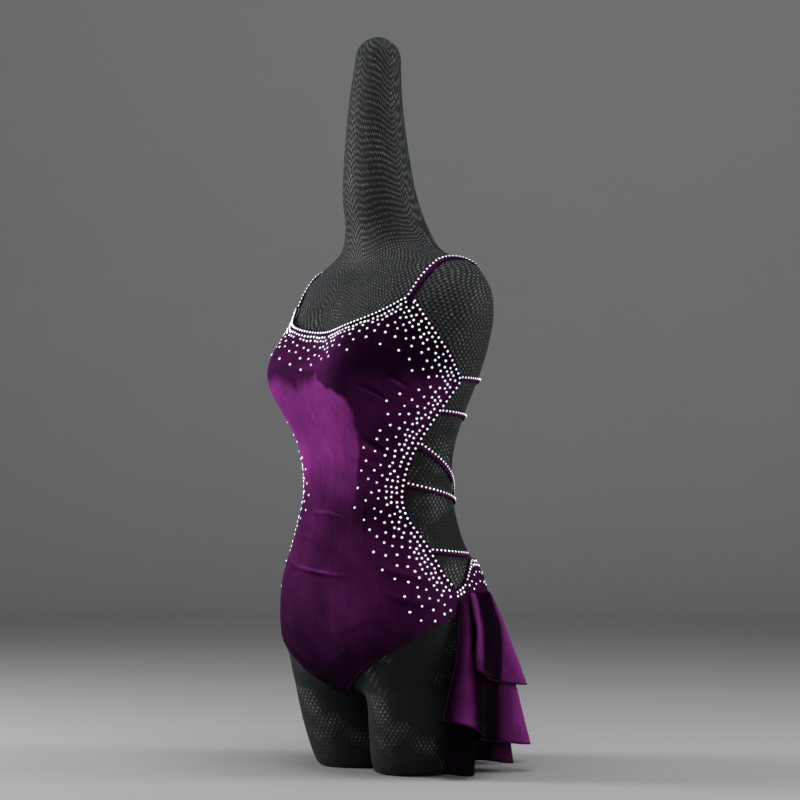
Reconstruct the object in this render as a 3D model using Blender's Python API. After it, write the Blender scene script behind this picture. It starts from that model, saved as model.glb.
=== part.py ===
"""Salsa dance dress with a ruffled tail, on the limbless display form that it rests on.

Metres, +Z up.  The wearer faces -Y and the wearer's left is +X.  The floor is z = 0, where the
form's two thigh stubs stand, and the origin lies under the middle of the whole part.  An angle on
the body is measured round the upright axis from the front centre: 0 is the front, 90 degrees is
the wearer's left side, 180 degrees is the centre back.
"""
import math

import bmesh
import bpy
import numpy as np

# ---------------------------------------------------------------- driving sizes
STUB_BOTTOM = 0.008          # height, in the tables below, of the form's standing faces
SHIFT = (-0.0070, -0.0420, -STUB_BOTTOM)   # puts the origin under the middle, at the standing faces

CLOTH_GAP = 0.0024           # air between the form and the cloth that lies on it
CLOTH_WALL = 0.0012          # velvet with its backing
BAND_WALL = 0.0009           # straps and bindings
STRAP_GAP = 0.0016           # air under the straps of the back
SHOULDER_GAP = 0.0008        # air under the shoulder straps, which carry the dress
SEAM_GAP = 0.0003            # air between two sewn pieces
BINDING_GAP = 0.0009         # air under a binding, which lies on the front's own facets
BINDING_WIDTH = 0.0055
BACK_STRAP_WIDTH = 0.0070
SHOULDER_STRAP_WIDTH = 0.0120

PANEL_OUT = CLOTH_GAP + CLOTH_WALL

# The form, as rings from the crotch to the top of the neck cone.
FORM_COLUMNS = ("height", "half_width", "front", "back", "centre_y", "front_round", "back_round")
FORM_ROWS = [
    (0.060, 0.118, 0.070, 0.074, 0.012, 2.0, 2.0),   # inside the legs
    (0.110, 0.142, 0.098, 0.100, 0.007, 2.0, 2.0),   # crotch
    (0.160, 0.157, 0.108, 0.122, 0.003, 2.1, 2.2),   # thigh top
    (0.210, 0.164, 0.111, 0.133, 0.000, 2.1, 2.2),   # hip
    (0.270, 0.156, 0.112, 0.127, 0.000, 2.1, 2.2),   # high hip
    (0.330, 0.135, 0.099, 0.097, 0.000, 2.1, 2.1),   # belly
    (0.400, 0.120, 0.086, 0.084, 0.000, 2.1, 2.1),   # waist
    (0.455, 0.126, 0.091, 0.085, 0.000, 2.1, 2.1),   # ribs
    (0.500, 0.138, 0.100, 0.094, 0.002, 2.1, 2.2),   # under the bust
    (0.555, 0.156, 0.100, 0.109, 0.008, 2.1, 2.2),   # bust
    (0.600, 0.171, 0.101, 0.108, 0.016, 2.1, 2.2),   # armpit
    (0.640, 0.181, 0.100, 0.096, 0.024, 2.0, 2.2),   # shoulder cap
    (0.680, 0.173, 0.089, 0.078, 0.030, 2.0, 2.2),   # top of the cap
    (0.705, 0.150, 0.074, 0.066, 0.030, 2.0, 2.1),   # shoulder
    (0.728, 0.090, 0.065, 0.060, 0.024, 2.0, 2.0),   # neck root
    (0.760, 0.063, 0.058, 0.056, 0.016, 2.0, 2.0),   # neck
    (0.802, 0.054, 0.054, 0.051, 0.004, 2.0, 2.0),   # cone
    (0.870, 0.046, 0.046, 0.043, -0.003, 2.0, 2.0),
    (0.950, 0.037, 0.037, 0.036, -0.005, 2.0, 2.0),
    (1.000, 0.032, 0.032, 0.033, -0.002, 2.0, 2.0),
]
CONE_TOP = 1.000             # where the rounded tip begins
TIP_RISE = 0.033             # height of the rounded tip

BUST_X = 0.078
BUST_HEIGHT = 0.560
BUST_SPREAD = 0.060
BUST_ABOVE = 0.064
BUST_BELOW = 0.060
BUST_RISE = 0.050

# The thigh stubs, of which the wearer's left one is written.
LEG_COLUMNS = ("height", "centre_x", "centre_y", "half_width", "half_depth")
LEG_ROWS = [
    (0.000, 0.0620, 0.020, 0.0545, 0.0630),
    (0.030, 0.0680, 0.014, 0.0585, 0.0670),
    (0.064, 0.0745, 0.008, 0.0605, 0.0690),
    (0.100, 0.0800, 0.004, 0.0605, 0.0720),
    (0.150, 0.0810, 0.002, 0.0580, 0.0800),
    (0.220, 0.0790, 0.002, 0.0500, 0.0700),
]
LEG_TOP = 0.130              # above this the leg rounds off inside the hips
LEG_TOP_RISE = 0.060
STUB_EDGE = 0.007            # rounding of the stub's lower edge
PELVIS_HEIGHT = 0.200        # below this the trunk rounds in to the crotch
PELVIS_DROP = 0.086
TRUNK_SCALE = 0.100          # turns the trunk's field into metres
LEG_SCALE = 0.065
BLEND = 0.022                # radius of the blend between trunk and legs

# How the form's mesh is divided.
FORM_SEGMENTS = 40
CROTCH_SEGMENTS = 8
SPLIT_HEIGHT = 0.1210

# The dress's front, whose side edge runs from the strap down to the side seam.
SIDE_SEAM = 91.5             # degrees
SEAM_TOP = 0.262
HUB_HEIGHT = 0.228           # bottom of the side seam; rows below it fan out from the hub
NECK_HEIGHT = 0.613
NECK_CORNER_HEIGHT = 0.655
NECK_CORNER = 57.5           # degrees
NECK_CURVE = 2.3             # over 2 for a neckline that is flatter at its centre
STRAP_CORNER = 63.0          # degrees
SIDE_EDGE_COLUMNS = ("height", "angle")
SIDE_EDGE = [
    (0.655, 63.0),           # strap
    (0.634, 67.0),
    (0.596, 77.0),           # armhole
    (0.562, 89.0),
    (0.546, 94.5),           # wing tip
    (0.526, 91.5),
    (0.502, 86.5),
    (0.468, 79.0),
    (0.434, 73.0),
    (0.402, 69.8),
    (0.380, 69.0),           # waist
    (0.356, 71.5),
    (0.328, 78.5),
    (0.300, 83.6),
    (0.278, 87.0),
    (0.262, 91.5),           # bottom of the side opening
    (0.228, 91.5),           # side seam
]
BRIDGE_RISE = 0.0100         # the cloth spans the hollow between the breasts
BRIDGE_HALF_WIDTH = 0.032
BRIDGE_HEIGHT, BRIDGE_TALL = 0.548, 0.040
HUB_CENTRE = 0.232           # the same row's height at the front centre
# The leg opening: the dress sits a little turned, so the right edge lies nearer the centre.
LEG_EDGE_COLUMNS = ("height", "angle", "centre_depression", "right_angle")
LEG_EDGE = [
    (0.2235, 87.0, 3.5, 87.0),
    (0.2170, 82.0, 7.5, 80.5),
    (0.2085, 75.5, 12.0, 71.0),
    (0.1960, 68.0, 17.5, 60.0),
    (0.1830, 60.0, 23.0, 49.0),
    (0.1690, 51.0, 29.0, 38.5),
    (0.1550, 43.5, 35.5, 28.0),
    (0.1410, 35.0, 42.5, 17.0),
    (0.1310, 26.5, 49.0, 9.0),
]
LEG_TURN = 0.4               # how far the rows' centres follow that turn
GUSSET_HALF_WIDTH = 0.0095
GUSSET_FLARE = 0.10          # how much the gusset widens for each metre past its straight part
GUSSET_STRAIGHT = 0.020
GUSSET_ROWS = 4
GUSSET_SLACK = 0.0032
GUSSET_FRONT = -0.046        # y of the gusset's first edge point

# The back: yoke, seat and the other half of the gusset.
YOKE_PEAK = 113.5            # degrees
YOKE_PEAK_HEIGHT = 0.302
YOKE_HEIGHT = 0.298
SEAT_EDGE = [
    (0.2200, 97.0, 4.0),
    (0.2080, 103.0, 9.5),
    (0.1950, 110.0, 15.5),
    (0.1810, 118.0, 21.5),
    (0.1670, 127.0, 28.0),
    (0.1540, 137.0, 35.0),
    (0.1420, 147.0, 42.0),
    (0.1310, 157.0, 49.0),
]
GUSSET_BACK = 0.052

# The three ruffles of the tail.  Their folds run on one pattern, so that each lies in the next.
RUFFLE_SEAM_HALF = 87.5      # degrees each side of the centre back, at the seam
RUFFLE_SWING = 13.0          # degrees that the left front edge swings forward down to the floor
RUFFLE_COLUMNS = ("name", "top", "rear_hem", "front_hem", "side_reach", "back_reach",
                  "left_share", "right_share")
RUFFLES = [
    ("ruffle_lower", 0.2360, 0.024, 0.014, 0.178, 0.180, 0.963, 0.852),
    ("ruffle_middle", 0.2460, 0.050, 0.084, 0.191, 0.216, 1.0, 1.0),
    ("ruffle_upper", 0.2560, 0.131, 0.158, 0.187, 0.209, 0.926, 0.926),
]
RUFFLE_LEVELS = (0.0, 0.05, 0.11, 0.19, 0.31, 0.48, 0.72, 1.0)   # rows, as shares of the fall
TIER_STEP = 0.010            # between the seams of two tiers
RUFFLE_WAVES = 6
WAVE_SEGMENTS = 8
VALLEY_POWER = 1.15          # over 1 for round folds with narrower valleys between them
FRONT_FOLD, FRONT_FOLD_SPAN, FRONT_FOLD_SHIFT = 0.82, 0.34, 0.040   # the left front fold is pushed on
FOLD_DRIFT = 0.010           # how unevenly the folds are spaced
FOLD_UNEVEN = 0.030          # how unevenly they stand out
RUFFLE_SPACING = 0.0056      # between two tiers where they hang free
RUFFLE_SQUARE = 2.5          # how square the hem's plan is
RIGHT_REACH = 0.93           # the hidden right side hangs a little closer
FLARE_POWER = 0.92
VALLEY_LEAN = 0.16           # how far a fold's valley leans in under the seat, as a slope
LEAN_HEIGHT = 0.165
HANG_HEIGHT = 0.205          # the fullest level of the seat, from which cloth hangs

# ---------------------------------------------------------------- materials
VELVET = ("purple velvet", (0.105, 0.012, 0.100, 1.0), 0.72, 0.0)
DARK_VELVET = ("dark velvet", (0.030, 0.006, 0.032, 1.0), 0.80, 0.0)
FORM_COVER = ("black form cover", (0.014, 0.017, 0.019, 1.0), 0.75, 0.0)


def clear_scene():
    for item in list(bpy.data.objects):
        bpy.data.objects.remove(item, do_unlink=True)


def material_for(node, look):
    """One Principled material for each object."""
    _, colour, roughness, metallic = look
    material = bpy.data.materials.new(node + "_material")
    material.use_nodes = True
    shader = material.node_tree.nodes["Principled BSDF"]
    shader.inputs["Base Color"].default_value = colour
    shader.inputs["Roughness"].default_value = roughness
    shader.inputs["Metallic"].default_value = metallic
    return material


def smooth_curve(columns, rows, name, at):
    """Value of one named column at the given places along the table's first column."""
    along = np.array([row[0] for row in rows], float)
    value = np.array([row[columns.index(name)] for row in rows], float)
    order = np.argsort(along)
    along, value = along[order], value[order]
    at = np.clip(np.asarray(at, float), along[0], along[-1])
    step = np.diff(along)
    slope = np.diff(value) / step
    tangent = np.empty_like(value)
    tangent[0], tangent[-1] = slope[0], slope[-1]
    tangent[1:-1] = (slope[:-1] * step[1:] + slope[1:] * step[:-1]) / (step[:-1] + step[1:])
    k = np.clip(np.searchsorted(along, at, side="right") - 1, 0, len(along) - 2)
    t = (at - along[k]) / step[k]
    return ((2 * t**3 - 3 * t**2 + 1) * value[k] + (t**3 - 2 * t**2 + t) * step[k] * tangent[k]
            + (3 * t**2 - 2 * t**3) * value[k + 1] + (t**3 - t**2) * step[k] * tangent[k + 1])


def smooth_step(t):
    t = np.clip(t, 0.0, 1.0)
    return t * t * (3 - 2 * t)


# ---------------------------------------------------------------- the body's surface
def trunk_field(x, y, z):
    """Negative inside the trunk, zero on it."""
    half_width, front, back, centre_y, front_round, back_round = [
        smooth_curve(FORM_COLUMNS, FORM_ROWS, name, z) for name in FORM_COLUMNS[1:]]
    above = z > BUST_HEIGHT
    tall = np.where(above, BUST_ABOVE, BUST_BELOW)
    swell = np.exp(-((x - BUST_X) / BUST_SPREAD) ** 2) + np.exp(-((x + BUST_X) / BUST_SPREAD) ** 2)
    swell = swell * np.exp(-((z - BUST_HEIGHT) / tall) ** 2)
    y = y - centre_y
    forward = smooth_step(-y / 0.040)
    y = y + BUST_RISE * swell * forward
    in_front = y < 0
    depth = np.where(in_front, front, back)
    power = np.where(in_front, front_round, back_round)
    ring = ((np.abs(x) / half_width) ** power + (np.abs(y) / depth) ** power) ** (1 / power)
    drop = np.clip((PELVIS_HEIGHT - z) / PELVIS_DROP, 0.0, None)
    return ((ring ** 3 + drop ** 3) ** (1 / 3) - 1.0) * TRUNK_SCALE


def leg_field(x, y, z):
    centre_x, centre_y, half_width, half_depth = [
        smooth_curve(LEG_COLUMNS, LEG_ROWS, name, z) for name in LEG_COLUMNS[1:]]
    cap = np.clip((z - LEG_TOP) / LEG_TOP_RISE, 0.0, None)
    ring = np.sqrt(((x - centre_x) / half_width) ** 2 + ((y - centre_y) / half_depth) ** 2 + cap ** 2)
    return (ring - 1.0) * LEG_SCALE


def blended(a, b, radius):
    overlap = np.clip(radius - np.abs(a - b), 0.0, None) / radius
    return np.minimum(a, b) - overlap ** 2 * radius / 4


def body_field(points):
    points = np.asarray(points, float)
    x, y, z = points[..., 0], points[..., 1], points[..., 2]
    legs = np.minimum(leg_field(x, y, z), leg_field(-x, y, z))
    return blended(trunk_field(x, y, z), legs, BLEND)


def surface_along(origin, direction, reach=0.32):
    """Where rays from inside the body leave it: scanned outward, then halved down."""
    origin = np.asarray(origin, float)
    direction = np.asarray(direction, float)
    direction = direction / np.linalg.norm(direction, axis=-1, keepdims=True)
    origin, direction = np.broadcast_arrays(origin, direction)
    near = np.zeros(direction.shape[:-1])
    far = np.full(direction.shape[:-1], reach)
    found = np.zeros(direction.shape[:-1], bool)
    for step in np.linspace(0.0, reach, 41)[1:]:
        outside = body_field(origin + direction * step) > 0
        far = np.where(outside & ~found, step, far)
        found |= outside
        near = np.where(found, near, step)
    for _ in range(26):
        middle = (near + far) / 2
        outside = body_field(origin + direction * middle[..., None]) > 0
        far = np.where(outside, middle, far)
        near = np.where(outside, near, middle)
    return origin + direction * ((near + far) / 2)[..., None]


def body_normal(points):
    points = np.asarray(points, float)
    step = 0.0008
    slope = np.stack([body_field(points + step * axis) - body_field(points - step * axis)
                      for axis in np.eye(3)], axis=-1)
    return slope / np.linalg.norm(slope, axis=-1, keepdims=True)


def level_point(angle, height):
    """The body at an angle in degrees round the axis, on a level ray."""
    angle = np.radians(np.asarray(angle, float))
    angle, height = np.broadcast_arrays(angle, np.asarray(height, float))
    centre_y = smooth_curve(FORM_COLUMNS, FORM_ROWS, "centre_y", height)
    origin = np.stack([np.zeros_like(height), centre_y, height], axis=-1)
    direction = np.stack([np.sin(angle), -np.cos(angle), np.zeros_like(height)], axis=-1)
    return surface_along(origin, direction)


HUB = np.array([0.0, 0.0, HUB_HEIGHT])


def hub_direction(point):
    ray = np.asarray(point, float) - HUB
    return ray / np.linalg.norm(ray, axis=-1, keepdims=True)


def hub_row(start, end, shares):
    """A row on the body between two directions from the hub, evenly turned."""
    turn = math.acos(float(np.clip(np.dot(start, end), -1.0, 1.0)))
    shares = np.asarray(shares, float)[:, None]
    ray = (np.sin((1 - shares) * turn) * start + np.sin(shares * turn) * end) / math.sin(turn)
    return surface_along(HUB, ray)


# ---------------------------------------------------------------- mesh helpers
def finish_object(name, mesh_data, look):
    bmesh.ops.recalc_face_normals(mesh_data, faces=mesh_data.faces)
    mesh = bpy.data.meshes.new(name)
    mesh_data.to_mesh(mesh)
    mesh_data.free()
    mesh.shade_smooth()
    mesh.set_sharp_from_angle(angle=math.radians(40))
    node = bpy.data.objects.new(name, mesh)
    node.data.materials.append(material_for(name, look))
    node.location = SHIFT
    bpy.context.scene.collection.objects.link(node)
    return node


def bridge(mesh_data, first, second, closed):
    """Quads between two rows of vertices."""
    count = len(first) if closed else len(first) - 1
    for k in range(count):
        nxt = (k + 1) % len(first)
        mesh_data.faces.new((first[k], first[nxt], second[nxt], second[k]))


def cut_cells(mesh_data, upper, lower, mirrored):
    """Two triangles for each cell between two rows; their cuts can mirror about the middle."""
    middle = (len(upper) - 1) / 2 if mirrored else len(upper)
    for k in range(len(upper) - 1):
        a, b, c, d = upper[k], upper[k + 1], lower[k + 1], lower[k]
        corners = ((a, b, d), (b, c, d)) if k >= middle else ((a, b, c), (a, c, d))
        for triangle in corners:
            mesh_data.faces.new(triangle)


def thick_sheet(name, inner, outer, look, mirrored=True):
    """A closed wall between an inner and an outer grid of points (rows x columns x 3)."""
    mesh_data = bmesh.new()
    layers = []
    for grid in (inner, outer):
        layers.append([[mesh_data.verts.new(point) for point in row] for row in grid])
    for layer in layers:
        for upper, lower in zip(layer[:-1], layer[1:]):
            cut_cells(mesh_data, upper, lower, mirrored)
    low, high = layers
    bridge(mesh_data, low[0], high[0], closed=False)
    bridge(mesh_data, low[-1], high[-1], closed=False)
    bridge(mesh_data, [row[0] for row in low], [row[0] for row in high], closed=False)
    bridge(mesh_data, [row[-1] for row in low], [row[-1] for row in high], closed=False)
    return finish_object(name, mesh_data, look)


def sheet_on_body(name, rows, inner, wall, look, slack=None):
    """A wall that follows the body; slack lifts its points by a further distance."""
    base = np.array(rows)
    normal = body_normal(base)
    if slack is not None:
        base = base + normal * np.broadcast_to(slack, base.shape[:2])[..., None]
    return thick_sheet(name, base + normal * inner, base + normal * (inner + wall), look)


# ---------------------------------------------------------------- the display form
def form_rings():
    """Level rings of the trunk from the split up to the top of the cone."""
    heights = np.concatenate([
        [SPLIT_HEIGHT],
        np.linspace(0.129, 0.262, 10),
        np.linspace(0.276, 0.480, 13),
        np.linspace(0.494, 0.650, 12),
        np.linspace(0.662, 0.738, 8),
        np.linspace(0.754, CONE_TOP, 8),
    ])
    angles = np.arange(FORM_SEGMENTS) * 360.0 / FORM_SEGMENTS
    return [level_point(angles, height) for height in heights]


def build_form():
    mesh_data = bmesh.new()
    rings = [[mesh_data.verts.new(point) for point in ring] for ring in form_rings()]
    for lower, upper in zip(rings[:-1], rings[1:]):
        bridge(mesh_data, lower, upper, closed=True)

    # rounded tip of the cone
    last = rings[-1]
    top = np.array([vertex.co[:] for vertex in last])
    centre = np.array([0.0, top[:, 1].mean(), CONE_TOP])
    for climb in (25, 48, 68):
        share = math.cos(math.radians(climb))
        rise = TIP_RISE * math.sin(math.radians(climb))
        ring = centre + (top - centre) * share + np.array([0.0, 0.0, rise])
        ring = [mesh_data.verts.new(point) for point in ring]
        bridge(mesh_data, last, ring, closed=True)
        last = ring
    tip = mesh_data.verts.new(centre + np.array([0.0, 0.0, TIP_RISE]))
    for k in range(FORM_SEGMENTS):
        mesh_data.faces.new((last[k], last[(k + 1) % FORM_SEGMENTS], tip))

    # crotch line from the front centre to the back centre of the split ring
    split = rings[0]
    half = FORM_SEGMENTS // 2
    front_y, back_y = split[0].co.y, split[half].co.y
    turn = np.linspace(0.0, math.pi, CROTCH_SEGMENTS + 1)[1:-1]
    crotch_y = (front_y + back_y) / 2 - (back_y - front_y) / 2 * np.cos(turn)
    start = np.stack([np.zeros_like(crotch_y), crotch_y, np.full_like(crotch_y, 0.165)], axis=-1)
    crotch = surface_along(start, np.array([0.0, 0.0, -1.0]), reach=0.12)
    saddle = float(crotch[:, 2].min())
    crotch = [mesh_data.verts.new(point) for point in crotch]

    left = split[:half + 1] + crotch[::-1]
    right = split[half:] + [split[0]] + crotch
    for side, ring in ((1, left), (-1, right)):
        last = ring
        spread = np.array([vertex.co[:] for vertex in ring])
        centre_x = side * float(smooth_curve(LEG_COLUMNS, LEG_ROWS, "centre_x", 0.110))
        centre_y = float(smooth_curve(LEG_COLUMNS, LEG_ROWS, "centre_y", 0.110))
        bearing = np.arctan2(spread[:, 1] - centre_y, spread[:, 0] - centre_x)
        heading = np.stack([np.cos(bearing), np.sin(bearing), np.zeros_like(bearing)], axis=-1)
        levels = [(saddle - 0.0022, 0.0), (saddle - 0.0070, 0.0), (saddle - 0.018, 0.0), (0.076, 0.0),
                  (0.046, 0.0), (STUB_BOTTOM + STUB_EDGE, 0.0),
                  (STUB_BOTTOM + STUB_EDGE * 0.3, STUB_EDGE * 0.3), (STUB_BOTTOM, STUB_EDGE)]
        for height, inset in levels:
            x = side * float(smooth_curve(LEG_COLUMNS, LEG_ROWS, "centre_x", height))
            y = float(smooth_curve(LEG_COLUMNS, LEG_ROWS, "centre_y", height))
            points = surface_along(np.array([x, y, height]), heading, reach=0.12) - heading * inset
            points = [mesh_data.verts.new(point) for point in points]
            bridge(mesh_data, last, points, closed=True)
            last = points
        mesh_data.faces.new(last)
    return finish_object("dress_form", mesh_data, FORM_COVER)


# ---------------------------------------------------------------- the front
PANEL_SHARES = np.linspace(-1.0, 1.0, 27)      # across the front, from the right edge to the left


def neck_height(angle):
    """Height of the neckline at an angle; level along the short top of each strap corner."""
    share = np.clip(np.abs(angle) / NECK_CORNER, 0.0, 1.0)
    return NECK_HEIGHT + (NECK_CORNER_HEIGHT - NECK_HEIGHT) * share ** NECK_CURVE


def side_edge_rows():
    """Heights and angles of the front's side edge, one for each of its level rows."""
    heights = np.concatenate([
        [0.655, 0.634, 0.615, 0.596, 0.579, 0.562, 0.546, 0.534],
        np.linspace(0.518, 0.278, 16),
        [SEAM_TOP, 0.245, HUB_HEIGHT],
    ])
    angles = smooth_curve(SIDE_EDGE_COLUMNS, SIDE_EDGE, "angle", heights)
    on_seam = heights <= SEAM_TOP + 1e-6
    gap = math.degrees(SEAM_GAP / 2 / 0.16)
    return heights, np.where(on_seam, SIDE_SEAM - gap, angles)


def front_rows():
    heights, angles = side_edge_rows()
    climb = (heights - HUB_HEIGHT) / (heights[0] - HUB_HEIGHT)
    centres = HUB_CENTRE + (NECK_HEIGHT - HUB_CENTRE) * climb
    rows = []
    for height, angle, centre, level in zip(heights, angles, centres, climb):
        share = np.abs(PANEL_SHARES)
        across = PANEL_SHARES * angle
        plain = centre + (height - centre) * share ** 2
        neck = neck_height(across) - NECK_HEIGHT + centre
        weight = smooth_step((level - 0.72) / 0.28)
        rows.append(level_point(across, plain + (neck - plain) * weight))
    # rows that fan from the hub, down the leg edge
    side = PANEL_SHARES[PANEL_SHARES >= 0]
    for height, angle, depression, right_angle in LEG_EDGE:
        turn = LEG_TURN * (angle - right_angle)
        rows.append(fan_row(height, (angle, right_angle), depression, side, -1.0, turn))
    for y in np.linspace(GUSSET_FRONT, -SEAM_GAP / 2, GUSSET_ROWS):
        rows.append(gusset_row(y, side, -1.0))
    return rows


def fan_row(height, angles, depression, side, facing, turn=0.0):
    """A row below the hub: its edges on the leg openings, its centre at a depression angle."""
    tilt, turn = math.radians(depression), math.radians(turn)
    centre = np.array([math.sin(turn) * math.cos(tilt), facing * math.cos(turn) * math.cos(tilt),
                       -math.sin(tilt)])
    left, right = [hub_row(centre, hub_direction(level_point(sign * angle, height)), side)
                   for sign, angle in zip((1.0, -1.0), angles)]
    return np.concatenate([right[:0:-1], left])


def gusset_row(y, side, facing):
    """A row of the gusset between the legs; it bows a little toward its own side."""
    width = GUSSET_HALF_WIDTH + GUSSET_FLARE * max(abs(y) - GUSSET_STRAIGHT, 0.0)
    x = side * width
    start = np.stack([x, np.full_like(x, y), np.full_like(x, 0.165)], axis=-1)
    half = surface_along(start, np.array([0.0, 0.0, -1.0]), reach=0.12)
    return mirrored_row(half)


def mirrored_row(half):
    """A whole row from its wearer's-left half, centre first."""
    return np.concatenate([half[:0:-1] * np.array([-1.0, 1.0, 1.0]), half])


def gusset_slack(rows):
    """The cloth hangs a little lower than the body between the legs."""
    before = np.arange(len(rows)) - (len(rows) - GUSSET_ROWS)
    return GUSSET_SLACK * smooth_step(1 + before / 5.0)[:, None]


def bridge_lift(rows):
    """How far the front stands off the hollow between the breasts; none under the neck binding."""
    rows = np.array(rows)
    lift = np.exp(-(rows[..., 0] / BRIDGE_HALF_WIDTH) ** 2)
    lift = lift * np.exp(-((rows[..., 2] - BRIDGE_HEIGHT) / BRIDGE_TALL) ** 2)
    return BRIDGE_RISE * lift * smooth_step((np.arange(len(rows)) - 1.0) / 2.0)[:, None]


def build_front():
    rows = front_rows()
    slack = gusset_slack(rows) + bridge_lift(rows)
    return sheet_on_body("front_panel", rows, CLOTH_GAP, CLOTH_WALL, VELVET, slack)


def band_on_facets(name, edge, inward, normal, mirrored):
    """A narrow band along an edge, on the straight lines that lead in from it, cut as they are."""
    slope = inward - edge
    slope = slope / np.linalg.norm(slope, axis=-1, keepdims=True)
    lines = np.array([edge, edge + slope * BINDING_WIDTH])
    inner = lines + normal * BINDING_GAP
    return thick_sheet(name, inner, inner + normal * BAND_WALL, DARK_VELVET, mirrored)


def build_bindings():
    """Narrow dark bands on the front's neck edge and on each side edge."""
    rows = np.array(front_rows())
    normal = body_normal(rows)
    outer = rows + normal * PANEL_OUT
    band_on_facets("neck_binding", outer[0, 1:-1], outer[1, 1:-1], normal[0, 1:-1], True)
    last = len(side_edge_rows()[0]) - 2
    for name, edge, inward in (("side_binding_left", -1, -2), ("side_binding_right", 0, 1)):
        band_on_facets(name, outer[1:last, edge], outer[1:last, inward], normal[1:last, edge], False)


# ---------------------------------------------------------------- the back
def back_rows():
    gap = math.degrees(SEAM_GAP / 2 / 0.16)
    seam = 180.0 - SIDE_SEAM - gap
    peak = 180.0 - YOKE_PEAK
    side = np.concatenate([np.linspace(0.0, peak, 7), np.linspace(peak, seam, 4)[1:]])
    top = np.where(side <= peak, YOKE_HEIGHT + (YOKE_PEAK_HEIGHT - YOKE_HEIGHT) * (side / peak) ** 4,
                   SEAM_TOP + (YOKE_PEAK_HEIGHT - SEAM_TOP) * smooth_step((seam - side) / (seam - peak)))
    rows = []
    for share in (0.0, 0.25, 0.5, 0.75, 1.0):
        height = top + (HUB_HEIGHT - top) * share
        rows.append(mirrored_row(level_point(180.0 - side, height)))
    spread = side / seam
    for height, angle, depression in SEAT_EDGE:
        rows.append(fan_row(height, (angle, angle), depression, spread, 1.0))
    for y in np.linspace(GUSSET_BACK, SEAM_GAP / 2, GUSSET_ROWS):
        rows.append(gusset_row(y, spread, 1.0))
    return rows


def build_back():
    rows = back_rows()
    return sheet_on_body("back_panel", rows, CLOTH_GAP, CLOTH_WALL, VELVET, gusset_slack(rows))


# ---------------------------------------------------------------- the ruffles
def ruffle_angle(turn, height):
    """Angle round the body of one upright line of the tail; turn runs from -1 (right) to 1 (left)."""
    top = RUFFLES[-1][1]
    swing = RUFFLE_SWING * (top - height) / top * smooth_step(turn)
    return 180.0 - turn * (RUFFLE_SEAM_HALF + swing)


def hanging_radius(angle, height):
    """Distance from the axis to the body, which cloth doesn't follow in under the seat."""
    level = np.maximum(height, HANG_HEIGHT)
    point = level_point(angle, level)
    return np.hypot(point[..., 0], point[..., 1])


def fold_valley(turn):
    """The folds' common pattern: 0 on a fold's ridge, 1 at the bottom of the valley beside it."""
    near_front = np.cos(math.pi / 2 * np.clip(np.abs(turn - FRONT_FOLD) / FRONT_FOLD_SPAN, 0.0, 1.0)) ** 2
    drift = turn + FOLD_DRIFT * np.sin(5.0 * turn + 1.0) - FRONT_FOLD_SHIFT * near_front
    return ((1 + np.cos(math.pi * RUFFLE_WAVES * drift)) / 2) ** VALLEY_POWER


def tier_radius_alone(tier, turn, height, angle, base):
    """Radius that one tier would take by its own cut."""
    _, top, _, _, side_reach, back_reach, _, _ = tier
    down = np.clip((top - height) / (top - hem_height(tier, turn)), 0.0, None)
    sine, cosine = np.abs(np.sin(np.radians(angle))), np.abs(np.cos(np.radians(angle)))
    reach = (sine / side_reach) ** RUFFLE_SQUARE + (cosine / back_reach) ** RUFFLE_SQUARE
    reach = reach ** (-1 / RUFFLE_SQUARE)
    reach = reach * (1 - (1 - RIGHT_REACH) * smooth_step(-turn / 0.8))
    reach = reach * (1 + FOLD_UNEVEN * np.sin(7.5 * turn + 0.6))
    peak = np.maximum(base + (reach - base) * down ** FLARE_POWER, base)
    valley = base - VALLEY_LEAN * np.clip(LEAN_HEIGHT - height, 0.0, None)
    return peak + (valley - peak) * fold_valley(turn)


def hem_height(tier, turn):
    """Hem of one tier: the rear height, changing to the front height at both ends."""
    _, _, rear_hem, front_hem, _, _, _, _ = tier
    toward_front = smooth_step((np.abs(turn) - 0.62) / 0.38)
    wave = 0.004 * np.cos(math.pi * RUFFLE_WAVES * turn)
    return rear_hem + (front_hem - rear_hem) * toward_front + wave


def tier_radius(index, turn, height):
    """Inner face of one tier at a level: outside every tier below it, and off the body."""
    angle = ruffle_angle(turn, height)
    rest = PANEL_OUT + SEAM_GAP
    base = hanging_radius(angle, height) + rest
    radius = tier_radius_alone(RUFFLES[0], turn, height, angle, base)
    for below, tier in zip(RUFFLES[:index], RUFFLES[1:index + 1]):
        own = tier_radius_alone(tier, turn, height, angle, base)
        start = smooth_step((tier[1] - height) / TIER_STEP)
        free = smooth_step((below[1] - height) / 0.040)
        room = CLOTH_WALL + SEAM_GAP * 3 + (RUFFLE_SPACING - CLOTH_WALL) * free
        radius = np.maximum(own, base + (radius - base + room) * start)
    return radius


def tier_surface(index, turn, height):
    angle = np.radians(ruffle_angle(turn, height))
    radius = tier_radius(index, turn, height)
    return np.stack([radius * np.sin(angle), -radius * np.cos(angle), height], axis=-1)


def ruffle_grid(index):
    tier = RUFFLES[index]
    top, left_share, right_share = tier[1], tier[6], tier[7]
    columns = RUFFLE_WAVES * WAVE_SEGMENTS
    turn = np.linspace(-1.0, 1.0, columns + 1)
    turn = turn[(turn <= left_share + 1e-3) & (turn >= -right_share - 1e-3)]
    grid = []
    for level in RUFFLE_LEVELS:
        height = top + (hem_height(tier, turn) - top) * level
        if level == RUFFLE_LEVELS[1]:
            height = np.full_like(turn, top - TIER_STEP)
        grid.append((turn, height))
    return grid


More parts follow.
